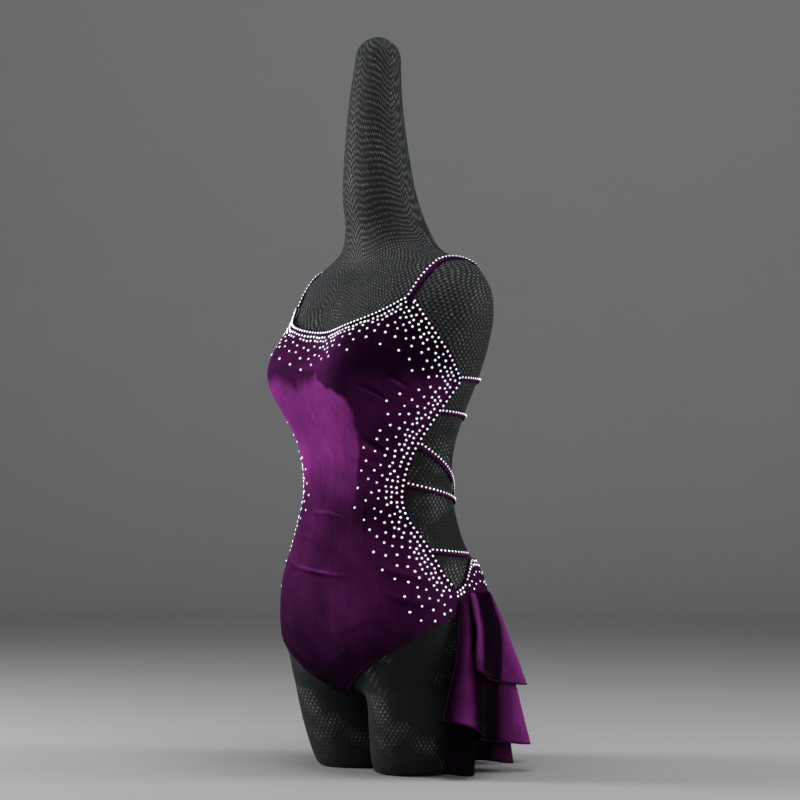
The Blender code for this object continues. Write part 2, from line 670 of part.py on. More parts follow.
def build_ruffle(index):
    """A wall of even thickness on the tier's inner face."""
    inner_rows, outer_rows = [], []
    small = 0.0006
    for turn, height in ruffle_grid(index):
        point = tier_surface(index, turn, height)
        along = tier_surface(index, turn + small, height) - tier_surface(index, turn - small, height)
        up = tier_surface(index, turn, height + small) - tier_surface(index, turn, height - small)
        normal = np.cross(up, along)
        normal /= np.linalg.norm(normal, axis=-1, keepdims=True)
        outward = np.stack([point[:, 0], point[:, 1], np.zeros(len(point))], axis=-1)
        normal *= np.sign((normal * outward).sum(axis=-1, keepdims=True))
        inner_rows.append(point)
        outer_rows.append(point + normal * CLOTH_WALL)
    look = DARK_VELVET if index == 0 else VELVET
    return thick_sheet(RUFFLES[index][0], inner_rows, outer_rows, look)


# ---------------------------------------------------------------- straps
def edge_angle(height):
    """Angle of the front's side edge at a height, along its straight facets."""
    heights, angles = side_edge_rows()
    return np.interp(height, heights[::-1], angles[::-1])


def strap_starts(upper, lower):
    """Angles where a strap's two edges begin, so that its end clears the side edge between them."""
    heights = np.linspace(lower, upper, 15)
    share = (heights - lower) / (upper - lower)
    edge = edge_angle(heights)
    chord = edge[0] + (edge[-1] - edge[0]) * share
    bulge = float(np.max(edge - chord))
    air = math.degrees(SEAM_GAP * 1.6 / 0.135) + bulge
    return float(edge[-1]) + air, float(edge[0]) + air


BACK_STRAP_COLUMNS = ("name", "edge_height", "lead_angle", "lead_height", "centre_height")
BACK_STRAPS = [
    ("back_strap_1", 0.5480, 125.0, 0.5475, 0.545),
    ("back_strap_2", 0.5030, 122.0, 0.4970, 0.492),
    ("back_strap_4", 0.4040, 112.0, 0.3840, 0.372),
]


def strap_path(strap, angle):
    """Height of a strap that crosses the whole back."""
    _, edge_height, lead_angle, lead_height, centre_height = strap
    start = float(edge_angle(edge_height))
    away = np.where(angle > 180.0, 360.0 - angle, angle)
    first = edge_height + (lead_height - edge_height) * (away - start) / (lead_angle - start)
    turn = np.clip((away - lead_angle) / (180.0 - lead_angle), 0.0, 1.0)
    rest = lead_height + (centre_height - lead_height) * (1 - (1 - turn) ** 2)
    return np.where(away <= lead_angle, first, rest)


def build_crossing_strap(strap):
    rows = []
    half_width = BACK_STRAP_WIDTH / 2
    starts = strap_starts(strap[1] + half_width, strap[1] - half_width)
    for half, start in zip((half_width, -half_width), starts):
        angle = np.linspace(start, 360.0 - start, 25)
        rows.append(level_point(angle, strap_path(strap, angle) + half))
    return sheet_on_body(strap[0], rows, STRAP_GAP, BAND_WALL, VELVET)


JOIN_ANGLE = 136.0           # where strap 3 meets strap 4
SLANT_START = 0.4580
YOKE_STRAP_START = 0.3130


def build_slanting_straps():
    """Strap 3 runs down from each side edge to strap 4."""
    band = BACK_STRAPS[2]
    rows = []
    tall = BACK_STRAP_WIDTH / 2 * 1.25
    starts = strap_starts(SLANT_START + tall, SLANT_START - tall)
    for start, start_height, spread in zip(starts, (SLANT_START + tall, SLANT_START - tall), (4.0, -4.0)):
        end = JOIN_ANGLE + spread
        end_height = float(strap_path(band, np.array(end))) + BACK_STRAP_WIDTH / 2 + SEAM_GAP * 2
        share = np.linspace(0.0, 1.0, 11)
        angle = start + (end - start) * share
        rows.append(level_point(angle, start_height + (end_height - start_height) * share))
    for name, mirror in (("back_strap_3_left", 1.0), ("back_strap_3_right", -1.0)):
        both = [row * np.array([mirror, 1.0, 1.0]) for row in rows]
        sheet_on_body(name, both, STRAP_GAP, BAND_WALL, VELVET)


def yoke_edge_height(angle):
    """Top edge of the back along its facets, near the yoke's peak."""
    top = back_rows()[0]
    bearing = np.degrees(np.arctan2(top[:, 0], -top[:, 1]))
    keep = bearing > 0
    order = np.argsort(bearing[keep])
    return float(np.interp(angle, bearing[keep][order], top[keep][order][:, 2]))


def build_yoke_straps():
    """Strap 5 runs from each side edge to the yoke's peak."""
    rows = []
    half_width = BACK_STRAP_WIDTH / 2
    starts = strap_starts(YOKE_STRAP_START + half_width, YOKE_STRAP_START - half_width)
    for start, half in zip(starts, (half_width, -half_width)):
        start_height = YOKE_STRAP_START + half
        end = YOKE_PEAK - 3.5 + (3.5 if half > 0 else 0.0)
        centre = level_point(end, yoke_edge_height(YOKE_PEAK))
        end_height = float(centre[2]) + SEAM_GAP * 2 + (BACK_STRAP_WIDTH if half > 0 else 0.0)
        share = np.linspace(0.0, 1.0, 8)
        rows.append(level_point(start + (end - start) * share,
                                start_height + (end_height - start_height) * share))
    for name, mirror in (("back_strap_5_left", 1.0), ("back_strap_5_right", -1.0)):
        both = [row * np.array([mirror, 1.0, 1.0]) for row in rows]
        sheet_on_body(name, both, STRAP_GAP, BAND_WALL, VELVET)


SHOULDER_HUB = np.array([0.055, 0.020, 0.600])
SHOULDER_COLUMNS = ("x", "y", "z")
SHOULDER_PATH = [
    (0.126, -0.046, 0.657),
    (0.128, -0.024, 0.682),
    (0.128, 0.012, 0.703),
    (0.124, 0.052, 0.700),
    (0.114, 0.088, 0.672),
    (0.104, 0.110, 0.620),
    (0.098, 0.118, 0.552),
]


def build_shoulder_straps():
    """From the front's corners over the shoulders to back strap 1."""
    share = np.linspace(0.0, len(SHOULDER_PATH) - 1.0, 19)
    steps = [(float(k),) + row for k, row in enumerate(SHOULDER_PATH)]
    names = ("step",) + SHOULDER_COLUMNS
    guide = np.stack([smooth_curve(names, steps, name, share) for name in SHOULDER_COLUMNS], axis=-1)
    centre = surface_along(SHOULDER_HUB, guide - SHOULDER_HUB)
    tangent = np.gradient(centre, axis=0)
    across = np.cross(body_normal(centre), tangent)
    across /= np.linalg.norm(across, axis=-1, keepdims=True)
    rows = []
    for half in (SHOULDER_STRAP_WIDTH / 2, -SHOULDER_STRAP_WIDTH / 2):
        side = centre + across * half
        rows.append(surface_along(SHOULDER_HUB, side - SHOULDER_HUB))
    # the front end stands on the front's top edge, the rear end on back strap 1
    for row in rows:
        bearing = math.degrees(math.atan2(row[0][0], -(row[0][1] - 0.028)))
        row[0] = level_point(bearing, NECK_CORNER_HEIGHT + SEAM_GAP * 2)
        bearing = math.degrees(math.atan2(row[-1][0], -(row[-1][1] - 0.008)))
        strap = BACK_STRAPS[0]
        edge = float(strap_path(strap, np.array(bearing))) + BACK_STRAP_WIDTH / 2
        row[-1] = level_point(bearing, edge + SEAM_GAP * 1.5)
    for name, mirror in (("shoulder_strap_left", 1.0), ("shoulder_strap_right", -1.0)):
        both = [row * np.array([mirror, 1.0, 1.0]) for row in rows]
        sheet_on_body(name, both, SHOULDER_GAP, BAND_WALL, VELVET)


def main():
    clear_scene()
    build_form()
    build_front()
    build_back()
    build_bindings()
    for index in range(len(RUFFLES)):
        build_ruffle(index)
    for strap in BACK_STRAPS:
        build_crossing_strap(strap)
    build_slanting_straps()
    build_yoke_straps()
    build_shoulder_straps()


main()
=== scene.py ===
"""Looks of a salsa dance dress with a ruffled tail, on the limbless form that it rests on.

Metres, +Z up.  The wearer faces -Y and the wearer's left is +X.  An angle on the body runs round
the upright axis from the front centre: 90 degrees is the wearer's left, 180 the centre back.
"""
import math

import bmesh
import bpy
import numpy as np
from mathutils import Matrix, Vector


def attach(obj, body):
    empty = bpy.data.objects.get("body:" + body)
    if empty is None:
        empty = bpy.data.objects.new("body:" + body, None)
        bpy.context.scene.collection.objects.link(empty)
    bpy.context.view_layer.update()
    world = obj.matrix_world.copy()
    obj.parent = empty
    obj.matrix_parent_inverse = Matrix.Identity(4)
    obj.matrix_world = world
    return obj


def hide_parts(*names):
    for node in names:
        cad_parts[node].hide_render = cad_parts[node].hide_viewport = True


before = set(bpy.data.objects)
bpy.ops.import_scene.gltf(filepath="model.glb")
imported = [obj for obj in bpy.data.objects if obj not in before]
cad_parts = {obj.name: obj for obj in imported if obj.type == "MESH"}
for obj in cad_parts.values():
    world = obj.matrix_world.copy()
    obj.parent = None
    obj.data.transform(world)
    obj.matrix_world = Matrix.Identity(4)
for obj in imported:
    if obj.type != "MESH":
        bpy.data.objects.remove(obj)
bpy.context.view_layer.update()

# ---------------------------------------------------------------- sizes shared with the solids
STUB_BOTTOM = 0.008
SHIFT = np.array([-0.0070, -0.0420, -STUB_BOTTOM])   # from the tables below to the part's frame

CLOTH_GAP = 0.0024
CLOTH_WALL = 0.0012
BAND_WALL = 0.0009
STRAP_GAP = 0.0016
SHOULDER_GAP = 0.0008
SEAM_GAP = 0.0003
BACK_STRAP_WIDTH = 0.0070
SHOULDER_STRAP_WIDTH = 0.0120
PANEL_OUT = CLOTH_GAP + CLOTH_WALL
HIP_RADIUS, WAIST_RADIUS = 0.16, 0.135
HALF_SEAM = math.degrees(SEAM_GAP / 2 / HIP_RADIUS)  # half of a side seam's gap, in degrees

FORM_COLUMNS = ("height", "half_width", "front", "back", "centre_y", "front_round", "back_round")
FORM_ROWS = [
    (0.060, 0.118, 0.070, 0.074, 0.012, 2.0, 2.0),
    (0.110, 0.142, 0.098, 0.100, 0.007, 2.0, 2.0),
    (0.160, 0.157, 0.108, 0.122, 0.003, 2.1, 2.2),
    (0.210, 0.164, 0.111, 0.133, 0.000, 2.1, 2.2),
    (0.270, 0.156, 0.112, 0.127, 0.000, 2.1, 2.2),
    (0.330, 0.135, 0.099, 0.097, 0.000, 2.1, 2.1),
    (0.400, 0.120, 0.086, 0.084, 0.000, 2.1, 2.1),
    (0.455, 0.126, 0.091, 0.085, 0.000, 2.1, 2.1),
    (0.500, 0.138, 0.100, 0.094, 0.002, 2.1, 2.2),
    (0.555, 0.156, 0.100, 0.109, 0.008, 2.1, 2.2),
    (0.600, 0.171, 0.101, 0.108, 0.016, 2.1, 2.2),
    (0.640, 0.181, 0.100, 0.096, 0.024, 2.0, 2.2),
    (0.680, 0.173, 0.089, 0.078, 0.030, 2.0, 2.2),
    (0.705, 0.150, 0.074, 0.066, 0.030, 2.0, 2.1),
    (0.728, 0.090, 0.065, 0.060, 0.024, 2.0, 2.0),
    (0.760, 0.063, 0.058, 0.056, 0.016, 2.0, 2.0),
    (0.802, 0.054, 0.054, 0.051, 0.004, 2.0, 2.0),
    (0.870, 0.046, 0.046, 0.043, -0.003, 2.0, 2.0),
    (0.950, 0.037, 0.037, 0.036, -0.005, 2.0, 2.0),
    (1.000, 0.032, 0.032, 0.033, -0.002, 2.0, 2.0),
]
CONE_TOP = 1.000
TIP_RISE = 0.033
BUST_X, BUST_HEIGHT, BUST_SPREAD = 0.078, 0.560, 0.060
BUST_ABOVE, BUST_BELOW, BUST_RISE = 0.064, 0.060, 0.050
LEG_COLUMNS = ("height", "centre_x", "centre_y", "half_width", "half_depth")
LEG_ROWS = [
    (0.000, 0.0620, 0.020, 0.0545, 0.0630),
    (0.030, 0.0680, 0.014, 0.0585, 0.0670),
    (0.064, 0.0745, 0.008, 0.0605, 0.0690),
    (0.100, 0.0800, 0.004, 0.0605, 0.0720),
    (0.150, 0.0810, 0.002, 0.0580, 0.0800),
    (0.220, 0.0790, 0.002, 0.0500, 0.0700),
]
LEG_TOP, LEG_TOP_RISE = 0.130, 0.060
STUB_EDGE = 0.007
PELVIS_HEIGHT, PELVIS_DROP = 0.200, 0.086
TRUNK_SCALE, LEG_SCALE, BLEND = 0.100, 0.065, 0.022
SPLIT_HEIGHT = 0.1210

SIDE_SEAM = 91.5
SEAM_TOP = 0.262
HUB_HEIGHT = 0.228
HUB_CENTRE = 0.232
NECK_HEIGHT = 0.613
NECK_CORNER_HEIGHT = 0.655
NECK_CORNER = 57.5
NECK_CURVE = 2.3
BRIDGE_RISE = 0.0100
BRIDGE_HALF_WIDTH = 0.032
BRIDGE_HEIGHT, BRIDGE_TALL = 0.548, 0.040
SIDE_EDGE_COLUMNS = ("height", "angle")
SIDE_EDGE = [
    (0.655, 63.0), (0.634, 67.0), (0.596, 77.0), (0.562, 89.0), (0.546, 94.5), (0.526, 91.5),
    (0.502, 86.5), (0.468, 79.0), (0.434, 73.0), (0.402, 69.8), (0.380, 69.0), (0.356, 71.5),
    (0.328, 78.5), (0.300, 83.6), (0.278, 87.0), (0.262, 91.5), (0.228, 91.5),
]
# Rows down a leg opening: height, angle of its edge on the left, how far below level the row's
# centre lies from the hub in degrees, and angle of its edge on the right.
LEG_EDGE = [
    (0.2235, 87.0, 3.5, 87.0),
    (0.2170, 82.0, 7.5, 80.5),
    (0.2085, 75.5, 12.0, 71.0),
    (0.1960, 68.0, 17.5, 60.0),
    (0.1830, 60.0, 23.0, 49.0),
    (0.1690, 51.0, 29.0, 38.5),
    (0.1550, 43.5, 35.5, 28.0),
    (0.1410, 35.0, 42.5, 17.0),
    (0.1310, 26.5, 49.0, 9.0),
]
LEG_TURN = 0.4
GUSSET_HALF_WIDTH, GUSSET_FLARE, GUSSET_STRAIGHT = 0.0095, 0.10, 0.020
GUSSET_ROWS = 4
GUSSET_SLACK = 0.0032
GUSSET_FRONT, GUSSET_BACK = -0.046, 0.052
YOKE_PEAK, YOKE_PEAK_HEIGHT, YOKE_HEIGHT = 113.5, 0.302, 0.298
# The same down the seat, where both sides are alike: height, angle, degrees below level.
SEAT_EDGE = [
    (0.2200, 97.0, 4.0), (0.2080, 103.0, 9.5), (0.1950, 110.0, 15.5), (0.1810, 118.0, 21.5),
    (0.1670, 127.0, 28.0), (0.1540, 137.0, 35.0), (0.1420, 147.0, 42.0), (0.1310, 157.0, 49.0),
]

RUFFLE_SEAM_HALF, RUFFLE_SWING = 87.5, 13.0
RUFFLE_COLUMNS = ("node", "top", "rear_hem", "front_hem", "side_reach", "back_reach",
                  "left_share", "right_share")
RUFFLES = [dict(zip(RUFFLE_COLUMNS, row)) for row in (
    ("ruffle_lower", 0.2360, 0.024, 0.014, 0.178, 0.180, 0.9583, 0.8333),
    ("ruffle_middle", 0.2460, 0.050, 0.084, 0.191, 0.216, 1.0, 1.0),
    ("ruffle_upper", 0.2560, 0.131, 0.158, 0.187, 0.209, 0.9167, 0.9167),
)]
TIER_STEP = 0.010
RUFFLE_WAVES, VALLEY_POWER, HEM_WAVE = 6, 1.15, 0.004
FRONT_FOLD, FRONT_FOLD_SPAN, FRONT_FOLD_SHIFT = 0.82, 0.34, 0.040
FOLD_DRIFT, FOLD_UNEVEN = 0.010, 0.030
RUFFLE_SPACING, RUFFLE_SQUARE, RIGHT_REACH, FLARE_POWER = 0.0056, 2.5, 0.93, 0.92
VALLEY_LEAN, LEAN_HEIGHT, HANG_HEIGHT = 0.16, 0.165, 0.205

# Each strap's height at the side edge, the angle and height where it turns level, and its height
# at the centre back.
BACK_STRAPS = {
    "back_strap_1": (0.5480, 125.0, 0.5475, 0.545),
    "back_strap_2": (0.5030, 122.0, 0.4970, 0.492),
    "back_strap_4": (0.4040, 112.0, 0.3840, 0.372),
}
JOIN_ANGLE = 136.0
SLANT_START = 0.4580
YOKE_STRAP_START = 0.3130
SHOULDER_HUB = np.array([0.055, 0.020, 0.600])
SHOULDER_PATH = [
    (0.126, -0.046, 0.657), (0.128, -0.024, 0.682), (0.128, 0.012, 0.703), (0.124, 0.052, 0.700),
    (0.114, 0.088, 0.672), (0.104, 0.110, 0.620), (0.098, 0.118, 0.552),
]


# ---------------------------------------------------------------- the body's surface
def smooth_curve(columns, rows, name, at):
    """Value of one named column at the given places along the table's first column."""
    along = np.array([row[0] for row in rows], float)
    value = np.array([row[columns.index(name)] for row in rows], float)
    order = np.argsort(along)
    along, value = along[order], value[order]
    at = np.clip(np.asarray(at, float), along[0], along[-1])
    step = np.diff(along)
    slope = np.diff(value) / step
    tangent = np.empty_like(value)
    tangent[0], tangent[-1] = slope[0], slope[-1]
    tangent[1:-1] = (slope[:-1] * step[1:] + slope[1:] * step[:-1]) / (step[:-1] + step[1:])
    k = np.clip(np.searchsorted(along, at, side="right") - 1, 0, len(along) - 2)
    t = (at - along[k]) / step[k]
    return ((2 * t**3 - 3 * t**2 + 1) * value[k] + (t**3 - 2 * t**2 + t) * step[k] * tangent[k]
            + (3 * t**2 - 2 * t**3) * value[k + 1] + (t**3 - t**2) * step[k] * tangent[k + 1])


def unit(vectors):
    return vectors / np.linalg.norm(vectors, axis=-1, keepdims=True)


def smooth_step(t):
    t = np.clip(t, 0.0, 1.0)
    return t * t * (3 - 2 * t)


def rising(value, start, width):
    """0 up to a start, and 1 a width beyond it."""
    return smooth_step((value - start) / width)


def falling(value, end, width):
    """1 down to a width below an end, and 0 from the end up."""
    return smooth_step((end - value) / width)


def hump(value, middle, half_width):
    return np.exp(-((value - middle) / half_width) ** 2)


def trunk_field(x, y, z):
    """Negative inside the trunk, zero on it."""
    half_width, front, back, centre_y, front_round, back_round = [
        smooth_curve(FORM_COLUMNS, FORM_ROWS, name, z) for name in FORM_COLUMNS[1:]]
    tall = np.where(z > BUST_HEIGHT, BUST_ABOVE, BUST_BELOW)
    swell = np.exp(-((x - BUST_X) / BUST_SPREAD) ** 2) + np.exp(-((x + BUST_X) / BUST_SPREAD) ** 2)
    swell = swell * np.exp(-((z - BUST_HEIGHT) / tall) ** 2)
    y = y - centre_y
    forward = smooth_step(-y / 0.040)
    y = y + BUST_RISE * swell * forward
    in_front = y < 0
    depth = np.where(in_front, front, back)
    power = np.where(in_front, front_round, back_round)
    ring = ((np.abs(x) / half_width) ** power + (np.abs(y) / depth) ** power) ** (1 / power)
    drop = np.clip((PELVIS_HEIGHT - z) / PELVIS_DROP, 0.0, None)
    return ((ring ** 3 + drop ** 3) ** (1 / 3) - 1.0) * TRUNK_SCALE


def leg_field(x, y, z):
    centre_x, centre_y, half_width, half_depth = [
        smooth_curve(LEG_COLUMNS, LEG_ROWS, name, z) for name in LEG_COLUMNS[1:]]
    across, deep = (x - centre_x) / half_width, (y - centre_y) / half_depth
    cap = np.clip((z - LEG_TOP) / LEG_TOP_RISE, 0.0, None)
    return (np.sqrt(across ** 2 + deep ** 2 + cap ** 2) - 1.0) * LEG_SCALE


def body_field(points):
    points = np.asarray(points, float)
    x, y, z = points[..., 0], points[..., 1], points[..., 2]
    trunk = trunk_field(x, y, z)
    legs = np.minimum(leg_field(x, y, z), leg_field(-x, y, z))
    overlap = np.clip(BLEND - np.abs(trunk - legs), 0.0, None) / BLEND
    return np.minimum(trunk, legs) - overlap ** 2 * BLEND / 4


def field_slope(points):
    step = 0.0008
    points = np.asarray(points, float)
    return np.stack([body_field(points + step * axis) - body_field(points - step * axis)
                     for axis in np.eye(3)], axis=-1) / (2 * step)


def body_normal(points):
    return unit(field_slope(points))


def settle(points, rounds=5):
    """Points that are near the body, moved onto it."""
    points = np.array(points, float)
    for _ in range(rounds):
        slope = field_slope(points)
        away = body_field(points) / np.maximum((slope ** 2).sum(axis=-1), 0.05)
        points = points - slope * away[..., None]
    return points


def surface_along(origin, direction, reach=0.32):
    """Where rays from inside the body leave it: scanned outward, then halved down."""
    origin = np.asarray(origin, float)
    direction = unit(np.asarray(direction, float))
    origin, direction = np.broadcast_arrays(origin, direction)
    near = np.zeros(direction.shape[:-1])
    far = np.full(direction.shape[:-1], reach)
    found = np.zeros(direction.shape[:-1], bool)
    for step in np.linspace(0.0, reach, 31)[1:]:
        outside = body_field(origin + direction * step) > 0
        far = np.where(outside & ~found, step, far)
        found |= outside
        near = np.where(found, near, step)
        if found.all():
            break
    for _ in range(16):
        middle = (near + far) / 2
        outside = body_field(origin + direction * middle[..., None]) > 0
        far = np.where(outside, middle, far)
        near = np.where(outside, near, middle)
    return origin + direction * ((near + far) / 2)[..., None]


def level_point(angle, height):
    """The body at an angle in degrees round the axis, on a level ray."""
    angle = np.radians(np.asarray(angle, float))
    angle, height = np.broadcast_arrays(angle, np.asarray(height, float))
    centre_y = smooth_curve(FORM_COLUMNS, FORM_ROWS, "centre_y", height)
    origin = np.stack([np.zeros_like(height), centre_y, height], axis=-1)
    direction = np.stack([np.sin(angle), -np.cos(angle), np.zeros_like(height)], axis=-1)
    return surface_along(origin, direction)


HUB = np.array([0.0, 0.0, HUB_HEIGHT])


def hub_direction(point):
    return unit(np.asarray(point, float) - HUB)


def hub_row(start, end, shares):
    """A row on the body between two directions from the hub, evenly turned."""
    turn = math.acos(float(np.clip(np.dot(start, end), -1.0, 1.0)))
    shares = np.asarray(shares, float)[:, None]
    ray = (np.sin((1 - shares) * turn) * start + np.sin(shares * turn) * end) / math.sin(turn)
    return surface_along(HUB, ray)


def mirrored_row(half):
    """A whole row from its wearer's-left half, centre first."""
    return np.concatenate([half[:0:-1] * np.array([-1.0, 1.0, 1.0]), half])


def finer_rows(rows, parts):
    """More rows between rows, on smooth curves through their points, settled on the body."""
    rows = np.array(rows)
    whole = np.concatenate([[2 * rows[0] - rows[1]], rows, [2 * rows[-1] - rows[-2]]])
    out = []
    for k in range(len(rows) - 1):
        a, b, c, d = whole[k:k + 4]
        for t in np.arange(parts) / parts:
            out.append(0.5 * (2 * b + (c - a) * t + (2 * a - 5 * b + 4 * c - d) * t**2
                              + (3 * b - a - 3 * c + d) * t**3))
    return settle(np.array(out + [rows[-1]]))


def nearest_on_line(points, line):
    """From each point to a line of points: distance, nearest place, and its share of the line."""
    line = np.asarray(line, float)
    steps = np.linalg.norm(np.diff(line, axis=0), axis=1)
    run = np.concatenate([[0.0], np.cumsum(steps)])
    best = np.full(points.shape[:-1], 1e9)
    place = np.zeros(points.shape)
    along = np.zeros(points.shape[:-1])
    for k in range(len(line) - 1):
        part = line[k + 1] - line[k]
        t = np.clip(((points - line[k]) @ part) / (part @ part), 0.0, 1.0)
        spot = line[k] + t[..., None] * part
        away = np.linalg.norm(points - spot, axis=-1)
        closer = away < best
        best = np.where(closer, away, best)
        place = np.where(closer[..., None], spot, place)
        along = np.where(closer, (run[k] + t * steps[k]) / run[-1], along)
    return best, place, along


def line_length(line):
    return float(np.linalg.norm(np.diff(line, axis=0), axis=1).sum())


def even_along(line, pitch, start=0.0, stop=0.0):
    """Points at even steps along a line, inset from its two ends."""
    line = np.asarray(line, float)
    run = np.concatenate([[0.0], np.cumsum(np.linalg.norm(np.diff(line, axis=0), axis=1))])
    count = max(2, int(round((run[-1] - start - stop) / pitch)) + 1)
    at = np.linspace(start, run[-1] - stop, count)
    return np.stack([np.interp(at, run, line[:, k]) for k in range(3)], axis=-1)


# ---------------------------------------------------------------- creases in the cloth
# Each is a line of (angle, height) places, its half width, its rise and the depth of the hollow
# that lies beside it, as a share of the rise.
FRONT_CREASES = [
    ([(-30, 0.292), (-5.5, 0.2865), (14, 0.2825), (37, 0.279)], 0.0022, 0.0022, 0.8),
    ([(-46, 0.302), (-34, 0.296), (-22, 0.290)], 0.0028, 0.0010, 0.9),
    ([(-21, 0.366), (6, 0.3645), (25, 0.358)], 0.0022, 0.0017, 0.5),
    ([(-40, 0.340), (-24, 0.333), (-6, 0.331)], 0.0034, 0.0008, 0.8),
    ([(54, 0.553), (60, 0.544), (67, 0.533)], 0.0024, -0.0026, 0.6),
    ([(38, 0.541), (47, 0.531), (57, 0.516)], 0.0022, -0.0023, 0.6),
    ([(62, 0.520), (69, 0.511), (78, 0.505)], 0.0032, 0.0010, 0.9),
    ([(41, 0.469), (51, 0.456), (60, 0.445)], 0.0036, -0.0028, 0.6),
    ([(30, 0.446), (44, 0.434), (58, 0.424)], 0.0036, 0.0009, 0.9),
    ([(42, 0.405), (42.5, 0.356), (44, 0.310)], 0.0018, -0.0011, 0.5),
    ([(52, 0.405), (60, 0.398), (66, 0.394)], 0.0030, 0.0009, 0.9),
    ([(50, 0.300), (62, 0.286), (76, 0.276)], 0.0036, 0.0010, 0.9),
    ([(54, 0.262), (66, 0.250), (82, 0.243)], 0.0036, 0.0010, 0.9),
    ([(18, 0.205), (36, 0.216), (56, 0.234)], 0.0042, 0.0004, 0.9),
    ([(-18, 0.200), (-36, 0.212), (-56, 0.230)], 0.0042, 0.0004, 0.9),
    ([(8, 0.160), (20, 0.172), (34, 0.186)], 0.0040, 0.0004, 0.9),
    ([(-8, 0.160), (-20, 0.172), (-34, 0.186)], 0.0040, 0.0004, 0.9),
    ([(-54, 0.553), (-60, 0.544), (-66, 0.534)], 0.0030, -0.0013, 0.7),
    ([(-38, 0.538), (-47, 0.529), (-57, 0.516)], 0.0032, -0.0012, 0.8),
    ([(-62, 0.520), (-70, 0.511), (-78, 0.504)], 0.0032, 0.0010, 0.9),
    ([(-40, 0.468), (-51, 0.457), (-61, 0.447)], 0.0030, -0.0012, 0.9),
    ([(-48, 0.404), (-57, 0.396), (-65, 0.392)], 0.0030, 0.0009, 0.9),
    ([(-50, 0.298), (-62, 0.286), (-76, 0.276)], 0.0036, 0.0010, 0.9),
    ([(-6, 0.452), (-4, 0.420), (-6, 0.386)], 0.0048, 0.0007, 0.6),
    ([(-16, 0.566), (0, 0.560), (16, 0.566)], 0.0050, 0.0008, 0.6),
]
BACK_CREASES = [
    ([(150, 0.286), (165, 0.281), (182, 0.280)], 0.0032, 0.0009, 0.8),
    ([(186, 0.276), (200, 0.274), (214, 0.279)], 0.0032, 0.0009, 0.8),
    ([(118, 0.288), (126, 0.278), (138, 0.270)], 0.0032, 0.0009, 0.9),
    ([(242, 0.288), (234, 0.278), (222, 0.270)], 0.0032, 0.0009, 0.9),
    ([(168, 0.215), (174, 0.190), (178, 0.165)], 0.0040, 0.0009, 0.8),
    ([(192, 0.215), (186, 0.190), (182, 0.165)], 0.0040, 0.0009, 0.8),
    ([(120, 0.196), (134, 0.188), (150, 0.176)], 0.0036, 0.0009, 0.8),
    ([(240, 0.196), (226, 0.188), (210, 0.176)], 0.0036, 0.0009, 0.8),
]


def crease_lift(points, creases):
    """How far the cloth stands out from its plain surface: a slight unevenness, and its creases."""
    lift = 0.00018 * (1 + np.sin(points[..., 0] * 95 + np.sin(points[..., 2] * 60) * 1.6)
                      * np.sin(points[..., 2] * 110 + points[..., 1] * 45))
    for path, half_width, rise, hollow in creases:
        path = np.array(path, float)
        share = np.linspace(0, len(path) - 1, 9)
        line = level_point(np.interp(share, range(len(path)), path[:, 0]),
                           np.interp(share, range(len(path)), path[:, 1]))
        away, spot, along = nearest_on_line(points, line)
        close = away < half_width * 6
        if not close.any():
            continue
        upward = np.sign((points - spot)[..., 2] + (points - spot)[..., 0] * 0.35)
        side = away * upward
        ends = np.sin(math.pi * np.clip(along, 0.0, 1.0)) ** 0.8
        ridge = np.exp(-(side / half_width) ** 2)
        trough = np.exp(-((side + 1.7 * half_width) / (1.25 * half_width)) ** 2)
        lift = lift + np.where(close, rise * ends * (ridge - hollow * trough), 0.0)
    return lift


# ---------------------------------------------------------------- making pieces
def put_in_scene(name, mesh, material):
    piece = bpy.data.objects.new(name, mesh)
    mesh.materials.append(material)
    bpy.context.scene.collection.objects.link(piece)
    return piece


def cloth_sheet(name, grid, outward, wall, material, wrap=False, pile_and_painted_light=0.4):
    """A woven sheet on a grid of points; outward says which way its right side faces.

    The value given for each point mixes the velvet from dark, at 0, to light, at 1; on most pieces
    it holds painted light and shade."""
    grid = np.asarray(grid, float)
    rows, columns = grid.shape[:2]
    cloth = bmesh.new()
    bmesh.ops.create_grid(cloth, x_segments=columns - 1, y_segments=rows - 1, size=1.0)
    run = np.linalg.norm(np.diff(grid, axis=1), axis=-1).mean(axis=0)
    fall = np.linalg.norm(np.diff(grid, axis=0), axis=-1).mean(axis=1)
    across = np.concatenate([[0.0], np.cumsum(run)])
    down = np.concatenate([[0.0], np.cumsum(fall)])
    cut = cloth.loops.layers.uv.new("cut")
    cloth.verts.ensure_lookup_table()
    cloth.verts.index_update()
    points = (grid + SHIFT).reshape(-1, 3)
    for vertex, point in zip(cloth.verts, points):
        vertex.co = point
    for face in cloth.faces:
        for loop in face.loops:
            row, column = divmod(loop.vert.index, columns)
            loop[cut].uv = (across[column], -down[row])
    cloth.normal_update()
    faces_out = sum(face.normal.dot(Vector(outward.reshape(-1, 3)[face.verts[0].index]))
                    for face in cloth.faces)
    if faces_out < 0:
        bmesh.ops.reverse_faces(cloth, faces=cloth.faces)
    if wrap:
        bmesh.ops.remove_doubles(cloth, verts=cloth.verts, dist=1e-6)
    mesh = bpy.data.meshes.new(name)
    cloth.to_mesh(mesh)
    cloth.free()
    mesh.shade_smooth()
    if not wrap:
        # the per-point mix from dark to light, with painted light and shade in it
        mix_value = np.broadcast_to(pile_and_painted_light, (rows, columns)).reshape(-1).astype(np.float32)
        pile = mesh.attributes.new("pile_and_painted_light", "FLOAT", "POINT")
        pile.data.foreach_set("value", mix_value)
    piece = put_in_scene(name, mesh, material)
    if wall:
        solid = piece.modifiers.new("wall", "SOLIDIFY")
        solid.thickness = wall
        solid.offset = 0.0
        solid.use_even_offset = True
    return piece


